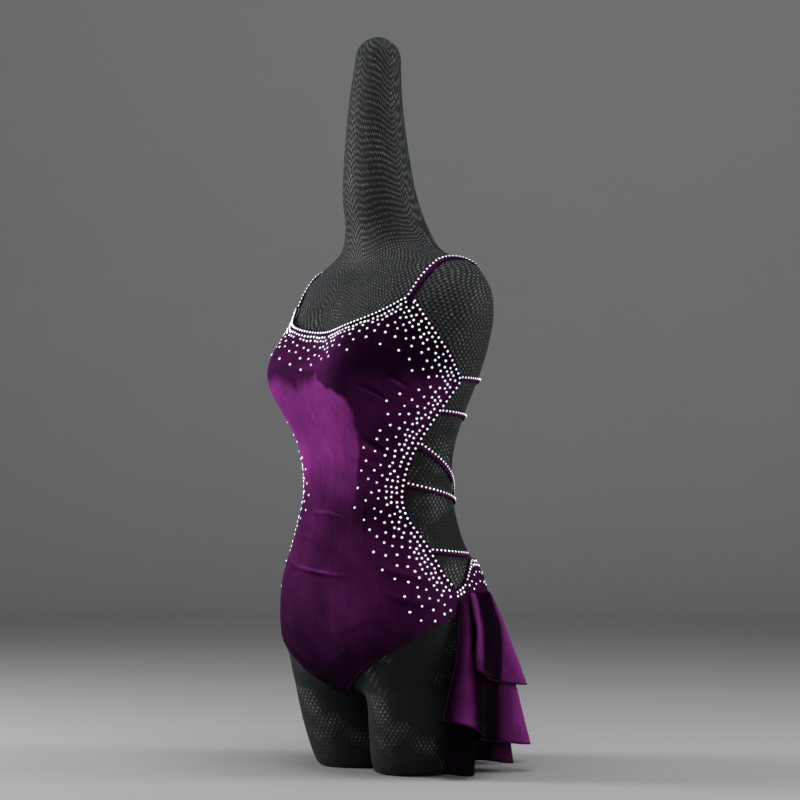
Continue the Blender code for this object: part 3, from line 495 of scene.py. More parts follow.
def edge_roll(name, line, radius, material):
    """A thin rolled edge along a line of points."""
    line = np.asarray(line, float)
    tangent = unit(np.gradient(line, axis=0))
    level = np.cross(tangent, np.array([0.0, 0.0, 1.0]))
    lying = np.cross(tangent, np.array([1.0, 0.3, 0.0]))
    upright = np.linalg.norm(level, axis=-1, keepdims=True) <= 0.3
    across = unit(np.where(upright, lying, level))
    other = np.cross(tangent, across)
    turns = np.linspace(0.0, 2 * math.pi, 9)
    grid = np.array([line + radius * (across * math.cos(t) + other * math.sin(t)) for t in turns])
    return cloth_sheet(name, grid, grid - line, 0.0, material, wrap=True)


# ---------------------------------------------------------------- finishes
def group_tree(name, inputs, outputs):
    tree = bpy.data.node_groups.new(name, "ShaderNodeTree")
    for label, kind, value in inputs:
        socket = tree.interface.new_socket(name=label, in_out="INPUT", socket_type=kind)
        if value is not None:
            socket.default_value = value
    for label, kind in outputs:
        tree.interface.new_socket(name=label, in_out="OUTPUT", socket_type=kind)
    return tree, tree.nodes.new("NodeGroupInput"), tree.nodes.new("NodeGroupOutput")


def node(tree, kind, inputs=(), **settings):
    made = tree.nodes.new(kind)
    for key, value in settings.items():
        setattr(made, key, value)
    for key, value in dict(inputs).items():
        if isinstance(value, bpy.types.NodeSocket):
            tree.links.new(value, made.inputs[key])
        else:
            made.inputs[key].default_value = value
    return made


def sums(tree, operation, first, second=0.5, clamp=False):
    return node(tree, "ShaderNodeMath", {0: first, 1: second}, operation=operation,
                use_clamp=clamp).outputs[0]


def mixed(tree, share, first, second, blend="MIX"):
    made = node(tree, "ShaderNodeMix", data_type="RGBA", blend_type=blend)
    for key, value in ((0, share), (6, first), (7, second)):
        if isinstance(value, bpy.types.NodeSocket):
            tree.links.new(value, made.inputs[key])
        else:
            made.inputs[key].default_value = value
    return made.outputs[2]


def noise_at(tree, place, scale, detail=2.0, roughness=0.5):
    return node(tree, "ShaderNodeTexNoise", {"Vector": place, "Scale": scale, "Detail": detail,
                                             "Roughness": roughness}).outputs["Fac"]


def ranged(tree, value, low, high, to_low=0.0, to_high=1.0):
    made = node(tree, "ShaderNodeMapRange", {"Value": value, "From Min": low, "From Max": high,
                                             "To Min": to_low, "To Max": to_high})
    return made.outputs["Result"]


def velvet_pile_and_painted_light():
    """Brushed patches, streaks and grain of a short pile, on a mix from a shaded to a lit colour
    that holds painted light and shade: colour, roughness and height.
    """
    tree, given, gives = group_tree(
        "velvet_pile_and_painted_light",
        [("Place", "NodeSocketVector", None), ("Pile_and_painted_light", "NodeSocketFloat", 0.4),
         ("Shaded_colour", "NodeSocketColor", (0.05, 0.01, 0.05, 1)),
         ("Lit_colour", "NodeSocketColor", (0.1, 0.02, 0.1, 1)), ("Roughness", "NodeSocketFloat", 0.5)],
        [("Color", "NodeSocketColor"), ("Roughness", "NodeSocketFloat"),
         ("Height", "NodeSocketFloat")])
    place = given.outputs["Place"]
    mix_value = noise_at(tree, place, 17.0, 3.0, 0.55)
    long_way = node(tree, "ShaderNodeMapping", {"Vector": place, "Scale": (1.0, 1.0, 0.22)})
    streaks = noise_at(tree, long_way.outputs[0], 120.0, 2.0, 0.6)
    grain = noise_at(tree, place, 1500.0, 1.0, 0.6)
    patches = ranged(tree, mix_value, 0.30, 0.70, 0.74, 1.22)
    streaked = ranged(tree, streaks, 0.30, 0.72, 0.84, 1.14)
    grained = ranged(tree, grain, 0.25, 0.75, -0.012, 0.014)
    share = sums(tree, "MULTIPLY", sums(tree, "MULTIPLY", patches, streaked), given.outputs["Pile_and_painted_light"])
    share = sums(tree, "ADD", share, grained, clamp=True)
    colour = mixed(tree, share, given.outputs["Shaded_colour"], given.outputs["Lit_colour"])
    rough = sums(tree, "ADD", given.outputs["Roughness"],
                 ranged(tree, mix_value, 0.3, 0.7, 0.05, -0.05))
    height = sums(tree, "ADD", sums(tree, "MULTIPLY", streaks, 0.5), grain)
    for label, value in (("Color", colour), ("Roughness", rough), ("Height", height)):
        tree.links.new(value, gives.inputs[label])
    return tree


def cell_radius(tree, x, x_weight, y, y_weight):
    """Distance from the middle of a net cell, weighted each way."""
    across = sums(tree, "MULTIPLY", sums(tree, "MULTIPLY", x, x), x_weight)
    upward = sums(tree, "MULTIPLY", sums(tree, "MULTIPLY", y, y), y_weight)
    return sums(tree, "SQRT", sums(tree, "ADD", across, upward))


def net_cells():
    """Staggered cells of a knitted net on flat coordinates in metres.

    It gives the thread's mask and height, the glints on it, and a painted light and shade that sets
    how pale the net is."""
    tree, given, gives = group_tree(
        "net_cells",
        [("Place", "NodeSocketVector", None), ("Pitch", "NodeSocketFloat", 0.006),
         ("Rise", "NodeSocketFloat", 0.0045)],
        [(label, "NodeSocketFloat") for label in ("Thread", "Glint", "Height", "Painted_light_tone")])
    place = given.outputs["Place"]
    flat = node(tree, "ShaderNodeSeparateXYZ", {0: place})
    along, up = flat.outputs[0], flat.outputs[1]
    drift = ranged(tree, noise_at(tree, place, 30.0, 1.0), 0.0, 1.0, -0.7, 0.7)
    rows = sums(tree, "ADD", sums(tree, "DIVIDE", up, given.outputs["Rise"]), drift)
    odd = sums(tree, "MODULO", sums(tree, "ABSOLUTE", sums(tree, "FLOOR", rows)), 2.0)
    columns = sums(tree, "ADD", sums(tree, "DIVIDE", along, given.outputs["Pitch"]),
                   sums(tree, "MULTIPLY", odd, 0.5))
    columns = sums(tree, "ADD", columns, drift)
    x, y = [sums(tree, "MULTIPLY", sums(tree, "SUBTRACT", sums(tree, "FRACT", cells), 0.5), 2.0)
            for cells in (columns, rows)]
    thread = ranged(tree, cell_radius(tree, x, 1.0, y, 1.15), 0.50, 0.92)
    # a short bright dash where two threads cross, in patches that the light catches
    from_side = sums(tree, "SUBTRACT", sums(tree, "ABSOLUTE", x), 1.0)
    dash = ranged(tree, cell_radius(tree, from_side, 2.2, y, 4.5), 0.95, 0.40)
    patch = ranged(tree, noise_at(tree, place, 15.0, 2.0), 0.50, 0.62)
    patch = sums(tree, "MULTIPLY", patch, ranged(tree, up, -0.045, 0.035))
    patch = sums(tree, "MAXIMUM", patch, ranged(tree, up, 0.46, 0.60, 0.0, 0.60))
    flicker = ranged(tree, noise_at(tree, place, 240.0, 0.0), 0.30, 0.66, 0.20, 1.0)
    glint = sums(tree, "MULTIPLY", dash, sums(tree, "MULTIPLY", patch, flicker))
    # the threads show more in the patches that the light catches: painted light
    thread = sums(tree, "MULTIPLY", thread, ranged(tree, patch, 0.0, 0.6, 0.30, 1.0))
    # painted light and shade: paler on the thighs and up the neck, darker on the trunk between
    painted_light_tone = sums(tree, "ADD", ranged(tree, up, 0.12, 0.30, 1.50, 0.70),
                ranged(tree, up, 0.62, 0.71, 0.0, 0.70))
    for label, value in (("Thread", thread), ("Glint", glint), ("Height", thread), ("Painted_light_tone", painted_light_tone)):
        tree.links.new(value, gives.inputs[label])
    return tree


def new_material(name):
    material = bpy.data.materials.new(name)
    material.use_nodes = True
    tree = material.node_tree
    return material, tree, tree.nodes["Principled BSDF"]


def use_group(tree, group, inputs):
    made = tree.nodes.new("ShaderNodeGroup")
    made.node_tree = group
    for key, value in inputs.items():
        if isinstance(value, bpy.types.NodeSocket):
            tree.links.new(value, made.inputs[key])
        else:
            made.inputs[key].default_value = value
    return made


PILE_AND_LIGHT = velvet_pile_and_painted_light()
NET = net_cells()


def velvet(name, deep, raised, tint, sheen, roughness):
    material, tree, shader = new_material(name)
    place = node(tree, "ShaderNodeTexCoord").outputs["Object"]
    # this attribute is painted light and shade; deep and raised are the painted shade and painted
    # light colours
    mix_value = node(tree, "ShaderNodeAttribute", attribute_name="pile_and_painted_light").outputs["Fac"]
    pile = use_group(tree, PILE_AND_LIGHT, {"Place": place, "Pile_and_painted_light": mix_value, "Shaded_colour": deep, "Lit_colour": raised,
                                  "Roughness": roughness})
    tree.links.new(pile.outputs["Color"], shader.inputs["Base Color"])
    tree.links.new(pile.outputs["Roughness"], shader.inputs["Roughness"])
    bump = node(tree, "ShaderNodeBump", {"Height": pile.outputs["Height"], "Strength": 0.22,
                                         "Distance": 0.0006})
    tree.links.new(bump.outputs[0], shader.inputs["Normal"])
    shader.inputs["Sheen Weight"].default_value = sheen
    shader.inputs["Sheen Roughness"].default_value = 0.30
    shader.inputs["Sheen Tint"].default_value = tint
    shader.inputs["Specular IOR Level"].default_value = 0.012
    shader.inputs["Specular Tint"].default_value = tint
    return material


NET_PITCH, NET_RISE = 0.0062, 0.0050
NET_HOLE = (0.0034, 0.0042, 0.0052, 1)
NET_THREAD = (0.0120, 0.0150, 0.0175, 1)
NET_GLINT = (0.300, 0.330, 0.340, 1)


def form_net_cover():
    material, tree, shader = new_material("form_net_cover")
    place = node(tree, "ShaderNodeUVMap", uv_map="cover").outputs[0]
    cells = use_group(tree, NET, {"Place": place, "Pitch": NET_PITCH, "Rise": NET_RISE})
    base = mixed(tree, cells.outputs["Thread"], NET_HOLE, NET_THREAD)
    # painted light and shade: the net made paler on the thighs and up the neck
    base = mixed(tree, 1.0, base, cells.outputs["Painted_light_tone"], "MULTIPLY")
    base = mixed(tree, cells.outputs["Glint"], base, NET_GLINT)
    tree.links.new(base, shader.inputs["Base Color"])
    tree.links.new(ranged(tree, cells.outputs["Thread"], 0.0, 1.0, 0.80, 0.52),
                   shader.inputs["Roughness"])
    bump = node(tree, "ShaderNodeBump", {"Height": cells.outputs["Height"], "Strength": 0.55,
                                         "Distance": 0.0011})
    tree.links.new(bump.outputs[0], shader.inputs["Normal"])
    shader.inputs["Specular IOR Level"].default_value = 0.22
    return material


def crystal():
    material, tree, shader = new_material("crystal")
    place = node(tree, "ShaderNodeTexCoord").outputs["Object"]
    colours = node(tree, "ShaderNodeTexNoise", {"Vector": place, "Scale": 260.0, "Detail": 0.0})
    tinted = mixed(tree, 0.30, (0.88, 0.88, 0.92, 1), colours.outputs["Color"], "OVERLAY")
    tree.links.new(tinted, shader.inputs["Base Color"])
    rough = ranged(tree, noise_at(tree, place, 500.0), 0.3, 0.7, 0.06, 0.20)
    tree.links.new(rough, shader.inputs["Roughness"])
    shader.inputs["Metallic"].default_value = 0.15
    shader.inputs["IOR"].default_value = 1.9
    # the stones glow a little: painted light, so that they show white in shade too
    shader.inputs["Emission Color"].default_value = (0.93, 0.92, 1.0, 1)
    shader.inputs["Emission Strength"].default_value = 0.60
    return material


def sewing_thread():
    material, tree, shader = new_material("sewing_thread")
    place = node(tree, "ShaderNodeTexCoord").outputs["Object"]
    twist = noise_at(tree, place, 2600.0, 1.0)
    colour = mixed(tree, twist, (0.016, 0.004, 0.017, 1), (0.036, 0.011, 0.037, 1))
    tree.links.new(colour, shader.inputs["Base Color"])
    tree.links.new(ranged(tree, twist, 0.2, 0.8, 0.38, 0.60), shader.inputs["Roughness"])
    return material


PURPLE = velvet("purple_velvet", (0.0024, 0.0006, 0.0028, 1), (0.245, 0.032, 0.225, 1),
                (1.0, 0.20, 0.90, 1), 0.012, 0.74)
# a darker copy of the purple velvet: painted shade for the lowest tier, which lies under the others
DARK = velvet("dark_velvet", (0.0016, 0.0008, 0.0021, 1), (0.060, 0.011, 0.056, 1),
              (0.80, 0.25, 0.80, 1), 0.008, 0.78)
EDGING = velvet("edging_velvet", (0.0045, 0.0010, 0.0055, 1), (0.110, 0.016, 0.105, 1),
                (1.0, 0.25, 0.95, 1), 0.02, 0.72)
# a lighter copy of the purple velvet: a painted highlight along the rolled hems
HEM = velvet("hem_velvet", (0.022, 0.005, 0.022, 1), (0.200, 0.060, 0.190, 1),
             (1.0, 0.40, 0.95, 1), 0.03, 0.65)
COVER = form_net_cover()
CRYSTAL = crystal()
THREAD = sewing_thread()


# ---------------------------------------------------------------- the display form
LEG_RADIUS = 0.062           # by which the net is laid out round a thigh
SHARP_BEND = 50.0            # degrees at which the form's stub edges stay crisp


def girth_radius(height):
    half_width, front, back = [smooth_curve(FORM_COLUMNS, FORM_ROWS, name, height)
                               for name in ("half_width", "front", "back")]
    return half_width * 0.5 + (front + back) * 0.25


def cover_length(angle, height):
    """How far up the net runs to a place, measured on the trunk."""
    turns = np.radians(np.arange(-180, 181, 12))
    levels = np.concatenate([np.linspace(0.10, 0.66, 40), np.linspace(0.665, 0.74, 26),
                             np.linspace(0.75, CONE_TOP, 20)])
    points = np.array([level_point(np.degrees(turns), level) for level in levels])
    climb = np.linalg.norm(np.diff(points, axis=0), axis=-1)
    length = np.concatenate([np.zeros((1, len(turns))), np.cumsum(climb, axis=0)])
    column = np.clip((angle + math.pi) / (turns[1] - turns[0]), 0, len(turns) - 1.001)
    left = column.astype(int)
    part = column - left
    row = np.interp(height, levels, np.arange(len(levels)))
    low = np.clip(row.astype(int), 0, len(levels) - 2)
    rise = row - low
    under, over = [length[k, left] * (1 - part) + length[k, left + 1] * part
                   for k in (low, low + 1)]
    inside = under * (1 - rise) + over * rise
    below = np.minimum(height - levels[0], 0.0)
    above = np.maximum(height - levels[-1], 0.0)
    return inside + below + above


def dress_form_in_net():
    """The form's own shape with finer facets, and a flat layout for its net cover."""
    form = bmesh.new()
    form.from_mesh(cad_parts["dress_form"].data)
    bmesh.ops.remove_doubles(form, verts=form.verts, dist=1e-5)
    for _ in range(2):
        bmesh.ops.subdivide_edges(form, edges=form.edges, cuts=1, use_grid_fill=True)
    points = np.array([vertex.co[:] for vertex in form.verts]) - SHIFT
    rounded = points[:, 2] > CONE_TOP + 1e-4
    body = (points[:, 2] > STUB_BOTTOM + STUB_EDGE + 1e-4) & ~rounded
    points[body] = settle(points[body], 4)
    half_width, front_depth, back_depth, centre_y = [
        float(smooth_curve(FORM_COLUMNS, FORM_ROWS, name, CONE_TOP)) for name in FORM_COLUMNS[1:5]]
    centre = np.array([0.0, centre_y, CONE_TOP])
    ray = points[rounded] - centre
    deep = np.where(ray[:, 1] < 0, front_depth, back_depth)
    size = np.stack([np.full(len(ray), half_width), deep, np.full(len(ray), TIP_RISE)], axis=-1)
    length = np.linalg.norm(ray / size, axis=-1, keepdims=True)
    points[rounded] = centre + ray / np.maximum(length, 1e-6)
    for vertex, point in zip(form.verts, points + SHIFT):
        vertex.co = point

    cover = form.loops.layers.uv.new("cover")
    form.verts.index_update()
    x, y, z = points.T
    centre_y = smooth_curve(FORM_COLUMNS, FORM_ROWS, "centre_y", z)
    trunk_angle = np.arctan2(x, -(y - centre_y))
    up = cover_length(trunk_angle, z)
    leg_x, leg_y = [smooth_curve(LEG_COLUMNS, LEG_ROWS, name, z) for name in LEG_COLUMNS[1:3]]
    radius = girth_radius(z)
    for face in form.faces:
        middle = face.calc_center_median()
        middle_x, middle_y = middle.x - SHIFT[0], middle.y - SHIFT[1]
        on_leg = middle.z < SPLIT_HEIGHT - STUB_BOTTOM
        side = 1.0 if middle_x > 0 else -1.0
        for loop in face.loops:
            k = loop.vert.index
            if on_leg:
                whole = 2 * math.pi * LEG_RADIUS
                run = math.atan2(x[k] - side * leg_x[k], -(y[k] - leg_y[k])) * LEG_RADIUS
                near = math.atan2(middle_x - side * leg_x[k], -(middle_y - leg_y[k])) * LEG_RADIUS
                loop[cover].uv = (run + whole * round((near - run) / whole), z[k])
            else:
                whole = 2 * math.pi
                near = math.atan2(middle_x, -(middle_y - centre_y[k]))
                angle = trunk_angle[k] + whole * round((near - trunk_angle[k]) / whole)
                loop[cover].uv = (angle * radius[k], up[k])
    form.normal_update()
    mesh = bpy.data.meshes.new("form_in_net")
    form.to_mesh(mesh)
    form.free()
    mesh.shade_smooth()
    mesh.set_sharp_from_angle(angle=math.radians(SHARP_BEND))
    piece = put_in_scene("form_in_net", mesh, COVER)
    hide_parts("dress_form")
    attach(piece, "root")


dress_form_in_net()


# ---------------------------------------------------------------- the front
LEVEL_HEIGHTS = np.concatenate([
    [0.655, 0.634, 0.615, 0.596, 0.579, 0.562, 0.546, 0.534], np.linspace(0.518, 0.278, 16),
    [SEAM_TOP, 0.245, HUB_HEIGHT]])
FINER = 6                    # rows of cloth for each row of the solid
FRONT_COLUMNS = 105


def finer_steps(values):
    at = np.arange((len(values) - 1) * FINER + 1) / FINER
    return np.interp(at, np.arange(len(values)), values)


def side_edge_angle(height):
    """Angle of the front's side edge; straight on the side seam."""
    height = np.asarray(height, float)
    angle = smooth_curve(SIDE_EDGE_COLUMNS, SIDE_EDGE, "angle", height)
    seam = SIDE_SEAM - HALF_SEAM
    low = height < 0.30
    return np.where(height <= SEAM_TOP + 1e-6, seam, np.where(low, np.minimum(angle, seam), angle))


def neck_height(angle):
    share = np.clip(np.abs(angle) / NECK_CORNER, 0.0, 1.0)
    return NECK_HEIGHT + (NECK_CORNER_HEIGHT - NECK_HEIGHT) * share ** NECK_CURVE


def fan_row(height, angles, depression, side, facing, turn=0.0):
    """A row below the hub: its edges on the leg openings, its centre at a depression angle."""
    tilt, turn = math.radians(depression), math.radians(turn)
    centre = np.array([math.sin(turn) * math.cos(tilt), facing * math.cos(turn) * math.cos(tilt),
                       -math.sin(tilt)])
    left, right = [hub_row(centre, hub_direction(level_point(sign * angle, height)), side)
                   for sign, angle in zip((1.0, -1.0), angles)]
    return np.concatenate([right[:0:-1], left])


def gusset_row(y, side):
    width = GUSSET_HALF_WIDTH + GUSSET_FLARE * max(abs(y) - GUSSET_STRAIGHT, 0.0)
    x = side * width
    start = np.stack([x, np.full_like(x, y), np.full_like(x, 0.165)], axis=-1)
    return mirrored_row(surface_along(start, np.array([0.0, 0.0, -1.0]), reach=0.12))


def front_rows():
    shares = np.linspace(-1.0, 1.0, FRONT_COLUMNS)
    heights = finer_steps(LEVEL_HEIGHTS)
    rows = []
    for height, angle in zip(heights, side_edge_angle(heights)):
        level = (height - HUB_HEIGHT) / (LEVEL_HEIGHTS[0] - HUB_HEIGHT)
        centre = HUB_CENTRE + (NECK_HEIGHT - HUB_CENTRE) * level
        across = shares * angle
        plain = centre + (height - centre) * np.abs(shares) ** 2
        neck = neck_height(across) - NECK_HEIGHT + centre
        weight = rising(level, 0.72, 0.28)
        rows.append(level_point(across, plain + (neck - plain) * weight))
    side = shares[shares >= 0]
    lower = [rows.pop()]
    for height, angle, depression, right_angle in LEG_EDGE:
        turn = LEG_TURN * (angle - right_angle)
        lower.append(fan_row(height, (angle, right_angle), depression, side, -1.0, turn))
    lower += [gusset_row(y, side) for y in np.linspace(GUSSET_FRONT, -SEAM_GAP / 2, GUSSET_ROWS)]
    return np.concatenate([np.array(rows), finer_rows(lower, FINER)])


def gusset_slack(count):
    steps = (np.arange(count) - (count - 1)) / FINER + (GUSSET_ROWS - 1)
    return GUSSET_SLACK * smooth_step(1 + steps / 5.0)


def bridge_lift(rows):
    """How far the front stands off the hollow between the breasts; none under the neck band."""
    lift = hump(rows[..., 0], 0.0, BRIDGE_HALF_WIDTH)
    lift = lift * hump(rows[..., 2], BRIDGE_HEIGHT, BRIDGE_TALL)
    return BRIDGE_RISE * lift * rising(np.arange(len(rows)) / FINER, 1.0, 2.0)[:, None]


def edge_fade(count_rows, count_columns, band=5):
    """0 at a sheet's edges, 1 inside, so that creases die out before its bindings."""
    down = np.minimum(np.arange(count_rows), np.arange(count_rows)[::-1]) / band
    across = np.minimum(np.arange(count_columns), np.arange(count_columns)[::-1]) / band
    return smooth_step(down)[:, None] * smooth_step(across)[None, :]


FRONT = front_rows()
FRONT_OUT = body_normal(FRONT)
FRONT_CREASED = crease_lift(FRONT, FRONT_CREASES) * edge_fade(*FRONT.shape[:2])
FRONT_LIFT = FRONT_CREASED + gusset_slack(len(FRONT))[:, None] + bridge_lift(FRONT)
LEVEL_COUNT = (len(LEVEL_HEIGHTS) - 1) * FINER + 1

# How much painted light each part of the front gets, from painted shade at 0 to full painted light
# at 1.
PAINTED_LIGHT_PLAIN, PAINTED_LIGHT_TO_FRONT, PAINTED_LIGHT_WAIST, PAINTED_LIGHT_CHEST = 0.040, 0.065, 0.83, 0.125
PAINTED_LIGHT_BELLY, PAINTED_LIGHT_RIBS, PAINTED_LIGHT_HIP, PAINTED_LIGHT_GUSSET = 0.18, 0.155, 0.155, 0.06
# The painted light at the waist ends at these angles toward the wearer's left, and at these heights
# under the bust.
WAIST_END_HEIGHTS = [0.30, 0.36, 0.40, 0.44, 0.475, 0.51, 0.535, 0.545, 0.60]
WAIST_END_ANGLES = [24, 31, 34.5, 36.5, 37.5, 34, 24, 12, 8]
BUST_END_ANGLES = [-70, -24, -12, -2, 8, 20]
BUST_END_HEIGHTS = [0.552, 0.548, 0.538, 0.541, 0.549, 0.548]


def front_painted_light(points):
    """Painted light from under the bust down to the waist, and painted shade toward the sides and
    low between the legs.
    """
    x, y, z = points[..., 0], points[..., 1], points[..., 2]
    centre_y = smooth_curve(FORM_COLUMNS, FORM_ROWS, "centre_y", z)
    angle = np.degrees(np.arctan2(x, -(y - centre_y)))
    # the patches' edges waver a little
    angle = angle + 0.8 * np.sin(z * 95) + 0.3 * np.sin(z * 260 + angle * 0.2)
    z = z + 0.0028 * np.sin(angle * 0.36) + 0.0014 * np.sin(angle * 0.93 + 1.0)
    left_end = np.interp(z, WAIST_END_HEIGHTS, WAIST_END_ANGLES)
    upper_end = np.interp(angle, BUST_END_ANGLES, BUST_END_HEIGHTS)
    waist = smooth_step((left_end - angle) / 4.0 + 0.5) * rising(angle, -82.0, 16.0)
    waist = waist * smooth_step((upper_end - z) / 0.021 + 0.5) * rising(z, 0.345, 0.125)
    chest = rising(z, 0.530, 0.02) * falling(angle, 34.0, 14.0)
    belly = falling(z, 0.390, 0.04) * falling(angle, 24.0, 40.0) * rising(z, 0.20, 0.13)
    ribs = rising(angle, 30.0, 12.0) * rising(z, 0.35, 0.08) * falling(z, 0.560, 0.025)
    hip = falling(z, 0.37, 0.06) * rising(z, 0.15, 0.10) * rising(angle, 4.0, 24.0)
    gusset = PAINTED_LIGHT_GUSSET + (1 - PAINTED_LIGHT_GUSSET) * rising(z, 0.122, 0.10)
    return gusset * (PAINTED_LIGHT_PLAIN + PAINTED_LIGHT_TO_FRONT * falling(angle, 66.0, 60.0) + PAINTED_LIGHT_WAIST * waist
                     + PAINTED_LIGHT_CHEST * chest + PAINTED_LIGHT_BELLY * belly + PAINTED_LIGHT_RIBS * ribs + PAINTED_LIGHT_HIP * hip)


def crease_painted_light(pile_and_painted_light, lift):
    """Painted shade in a crease's hollow, and a painted highlight on the ridge beside it."""
    lift = lift - 0.0002
    ridge = np.maximum(lift - 0.0006, 0.0)
    return np.clip(pile_and_painted_light * (1 + 190 * lift) + 60 * lift + 230 * ridge, 0.0, 1.0)


def panel_grid(rows, out, lift):
    """The middle of a panel's wall over rows on the body."""
    return rows + out * (CLOTH_GAP + CLOTH_WALL / 2 + lift)[..., None]


front = cloth_sheet("velvet_front", panel_grid(FRONT, FRONT_OUT, FRONT_LIFT), FRONT_OUT,
                    CLOTH_WALL, PURPLE, pile_and_painted_light=crease_painted_light(front_painted_light(FRONT), FRONT_CREASED))


# ---------------------------------------------------------------- the back
BACK_NAP = 0.13


def back_rows():
    seam, peak = 180.0 - SIDE_SEAM - HALF_SEAM, 180.0 - YOKE_PEAK
    side = np.concatenate([np.linspace(0.0, peak, 31), np.linspace(peak, seam, 14)[1:]])
    yoke = YOKE_HEIGHT + (YOKE_PEAK_HEIGHT - YOKE_HEIGHT) * (side / peak) ** 4
    flank = SEAM_TOP + (YOKE_PEAK_HEIGHT - SEAM_TOP) * falling(side, seam, seam - peak)
    top = np.where(side <= peak, yoke, flank)
    rows = [mirrored_row(level_point(180.0 - side, top + (HUB_HEIGHT - top) * share))
            for share in np.linspace(0.0, 1.0, 4 * FINER + 1)]
    spread = side / seam
    lower = [rows.pop()]
    for height, angle, depression in SEAT_EDGE:
        lower.append(fan_row(height, (angle, angle), depression, spread, 1.0))
    lower += [gusset_row(y, spread) for y in np.linspace(GUSSET_BACK, SEAM_GAP / 2, GUSSET_ROWS)]
    return np.concatenate([np.array(rows), finer_rows(lower, FINER)])


BACK = back_rows()
BACK_OUT = body_normal(BACK)
BACK_CREASED = crease_lift(BACK, BACK_CREASES) * edge_fade(*BACK.shape[:2])
BACK_LIFT = BACK_CREASED + gusset_slack(len(BACK))[:, None]
back = cloth_sheet("velvet_back", panel_grid(BACK, BACK_OUT, BACK_LIFT), BACK_OUT,
                   CLOTH_WALL, PURPLE,
                   pile_and_painted_light=crease_painted_light(np.full(BACK.shape[:2], BACK_NAP), BACK_CREASED))


# ---------------------------------------------------------------- bindings
# The band's section, as (distance in from the edge, height off the body).
BINDING_SECTION = [
    (-0.0009, 0.0031), (-0.0011, 0.0038), (-0.0008, 0.0044), (0.0, 0.0047),
    (0.0012, 0.0048), (0.0030, 0.0047), (0.0046, 0.0046), (0.0055, 0.0043),
]
BINDING_WALL = 0.0006
BINDING_FACE = 5             # the point of the section that its stones sit over
BINDING_NAP = 0.12
NECK_END = 3                 # columns left free at each end of the neck band
BAND_TOPS = []               # a line along each band's face, and its outward directions
STITCHED = []                # lines of stitching: points, outward directions, pitch


def binding(name, node_name, edge, inward):
    """A folded band that wraps an edge; inward points lie a little way into the panel."""
    slope = unit(inward - edge)
    grid, outward = [], []
    for distance, height in BINDING_SECTION:
        base = edge + slope * distance
        if distance > 0:
            base = settle(base, 3)
        out = body_normal(base)
        grid.append(base + out * height)
        outward.append(out)
    piece = cloth_sheet(name, np.array(grid), np.array(outward), BINDING_WALL, EDGING,
                        pile_and_painted_light=BINDING_NAP)
    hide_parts(node_name)
    face_out = outward[BINDING_FACE]
    BAND_TOPS.append((grid[BINDING_FACE] + face_out * (BINDING_WALL / 2), face_out))
    return piece


SIDE_STOP = (len(LEVEL_HEIGHTS) - 3) * FINER
NECK_EDGE = FRONT[0, NECK_END:-NECK_END]
LEFT_EDGE, RIGHT_EDGE = FRONT[1:SIDE_STOP, -1], FRONT[1:SIDE_STOP, 0]
neck_band = binding("neck_band", "neck_binding", NECK_EDGE, FRONT[2, NECK_END:-NECK_END])
side_bands = [
    binding("side_band_left", "side_binding_left", LEFT_EDGE, FRONT[1:SIDE_STOP, -3]),
    binding("side_band_right", "side_binding_right", RIGHT_EDGE, FRONT[1:SIDE_STOP, 2]),
]


# ---------------------------------------------------------------- the ruffles
def ruffle_angle(turn, height):
    top = RUFFLES[-1]["top"]
    swing = RUFFLE_SWING * (top - height) / top * smooth_step(turn)
    return 180.0 - turn * (RUFFLE_SEAM_HALF + swing)


def hem_height(tier, turn):
    toward_front = rising(np.abs(turn), 0.62, 0.38)
    waves = HEM_WAVE * np.cos(math.pi * RUFFLE_WAVES * turn)
    return tier["rear_hem"] + (tier["front_hem"] - tier["rear_hem"]) * toward_front + waves


def fold_valley(turn):
    from_fold = np.clip(np.abs(turn - FRONT_FOLD) / FRONT_FOLD_SPAN, 0.0, 1.0)
    near_front = np.cos(math.pi / 2 * from_fold) ** 2
    drift = turn + FOLD_DRIFT * np.sin(5.0 * turn + 1.0) - FRONT_FOLD_SHIFT * near_front
    return ((1 + np.cos(math.pi * RUFFLE_WAVES * drift)) / 2) ** VALLEY_POWER


def tier_radius_alone(tier, turn, height, angle, base):
    down = np.clip((tier["top"] - height) / (tier["top"] - hem_height(tier, turn)), 0.0, None)
    sideways = np.abs(np.sin(np.radians(angle))) / tier["side_reach"]
    backward = np.abs(np.cos(np.radians(angle))) / tier["back_reach"]
    reach = (sideways ** RUFFLE_SQUARE + backward ** RUFFLE_SQUARE) ** (-1 / RUFFLE_SQUARE)
    reach = reach * (1 - (1 - RIGHT_REACH) * smooth_step(-turn / 0.8))
    reach = reach * (1 + FOLD_UNEVEN * np.sin(7.5 * turn + 0.6))
    peak = np.maximum(base + (reach - base) * down ** FLARE_POWER, base)
    valley = base - VALLEY_LEAN * np.clip(LEAN_HEIGHT - height, 0.0, None)
    return peak + (valley - peak) * fold_valley(turn)


def tier_surface(index, turn, height):
    """Inner face of one tier: outside every tier below it, and off the body."""
    angle = ruffle_angle(turn, height)
    point = level_point(angle, np.maximum(height, HANG_HEIGHT))
    base = np.hypot(point[..., 0], point[..., 1]) + PANEL_OUT + SEAM_GAP
    radius = tier_radius_alone(RUFFLES[0], turn, height, angle, base)
    for below, tier in zip(RUFFLES[:index], RUFFLES[1:index + 1]):
        own = tier_radius_alone(tier, turn, height, angle, base)
        start = falling(height, tier["top"], TIER_STEP)
        free = falling(height, below["top"], 0.040)
        room = CLOTH_WALL + SEAM_GAP * 3 + (RUFFLE_SPACING - CLOTH_WALL) * free
        radius = np.maximum(own, base + (radius - base + room) * start)
    turned = np.radians(angle)
    return np.stack([radius * np.sin(turned), -radius * np.cos(turned), height], axis=-1)


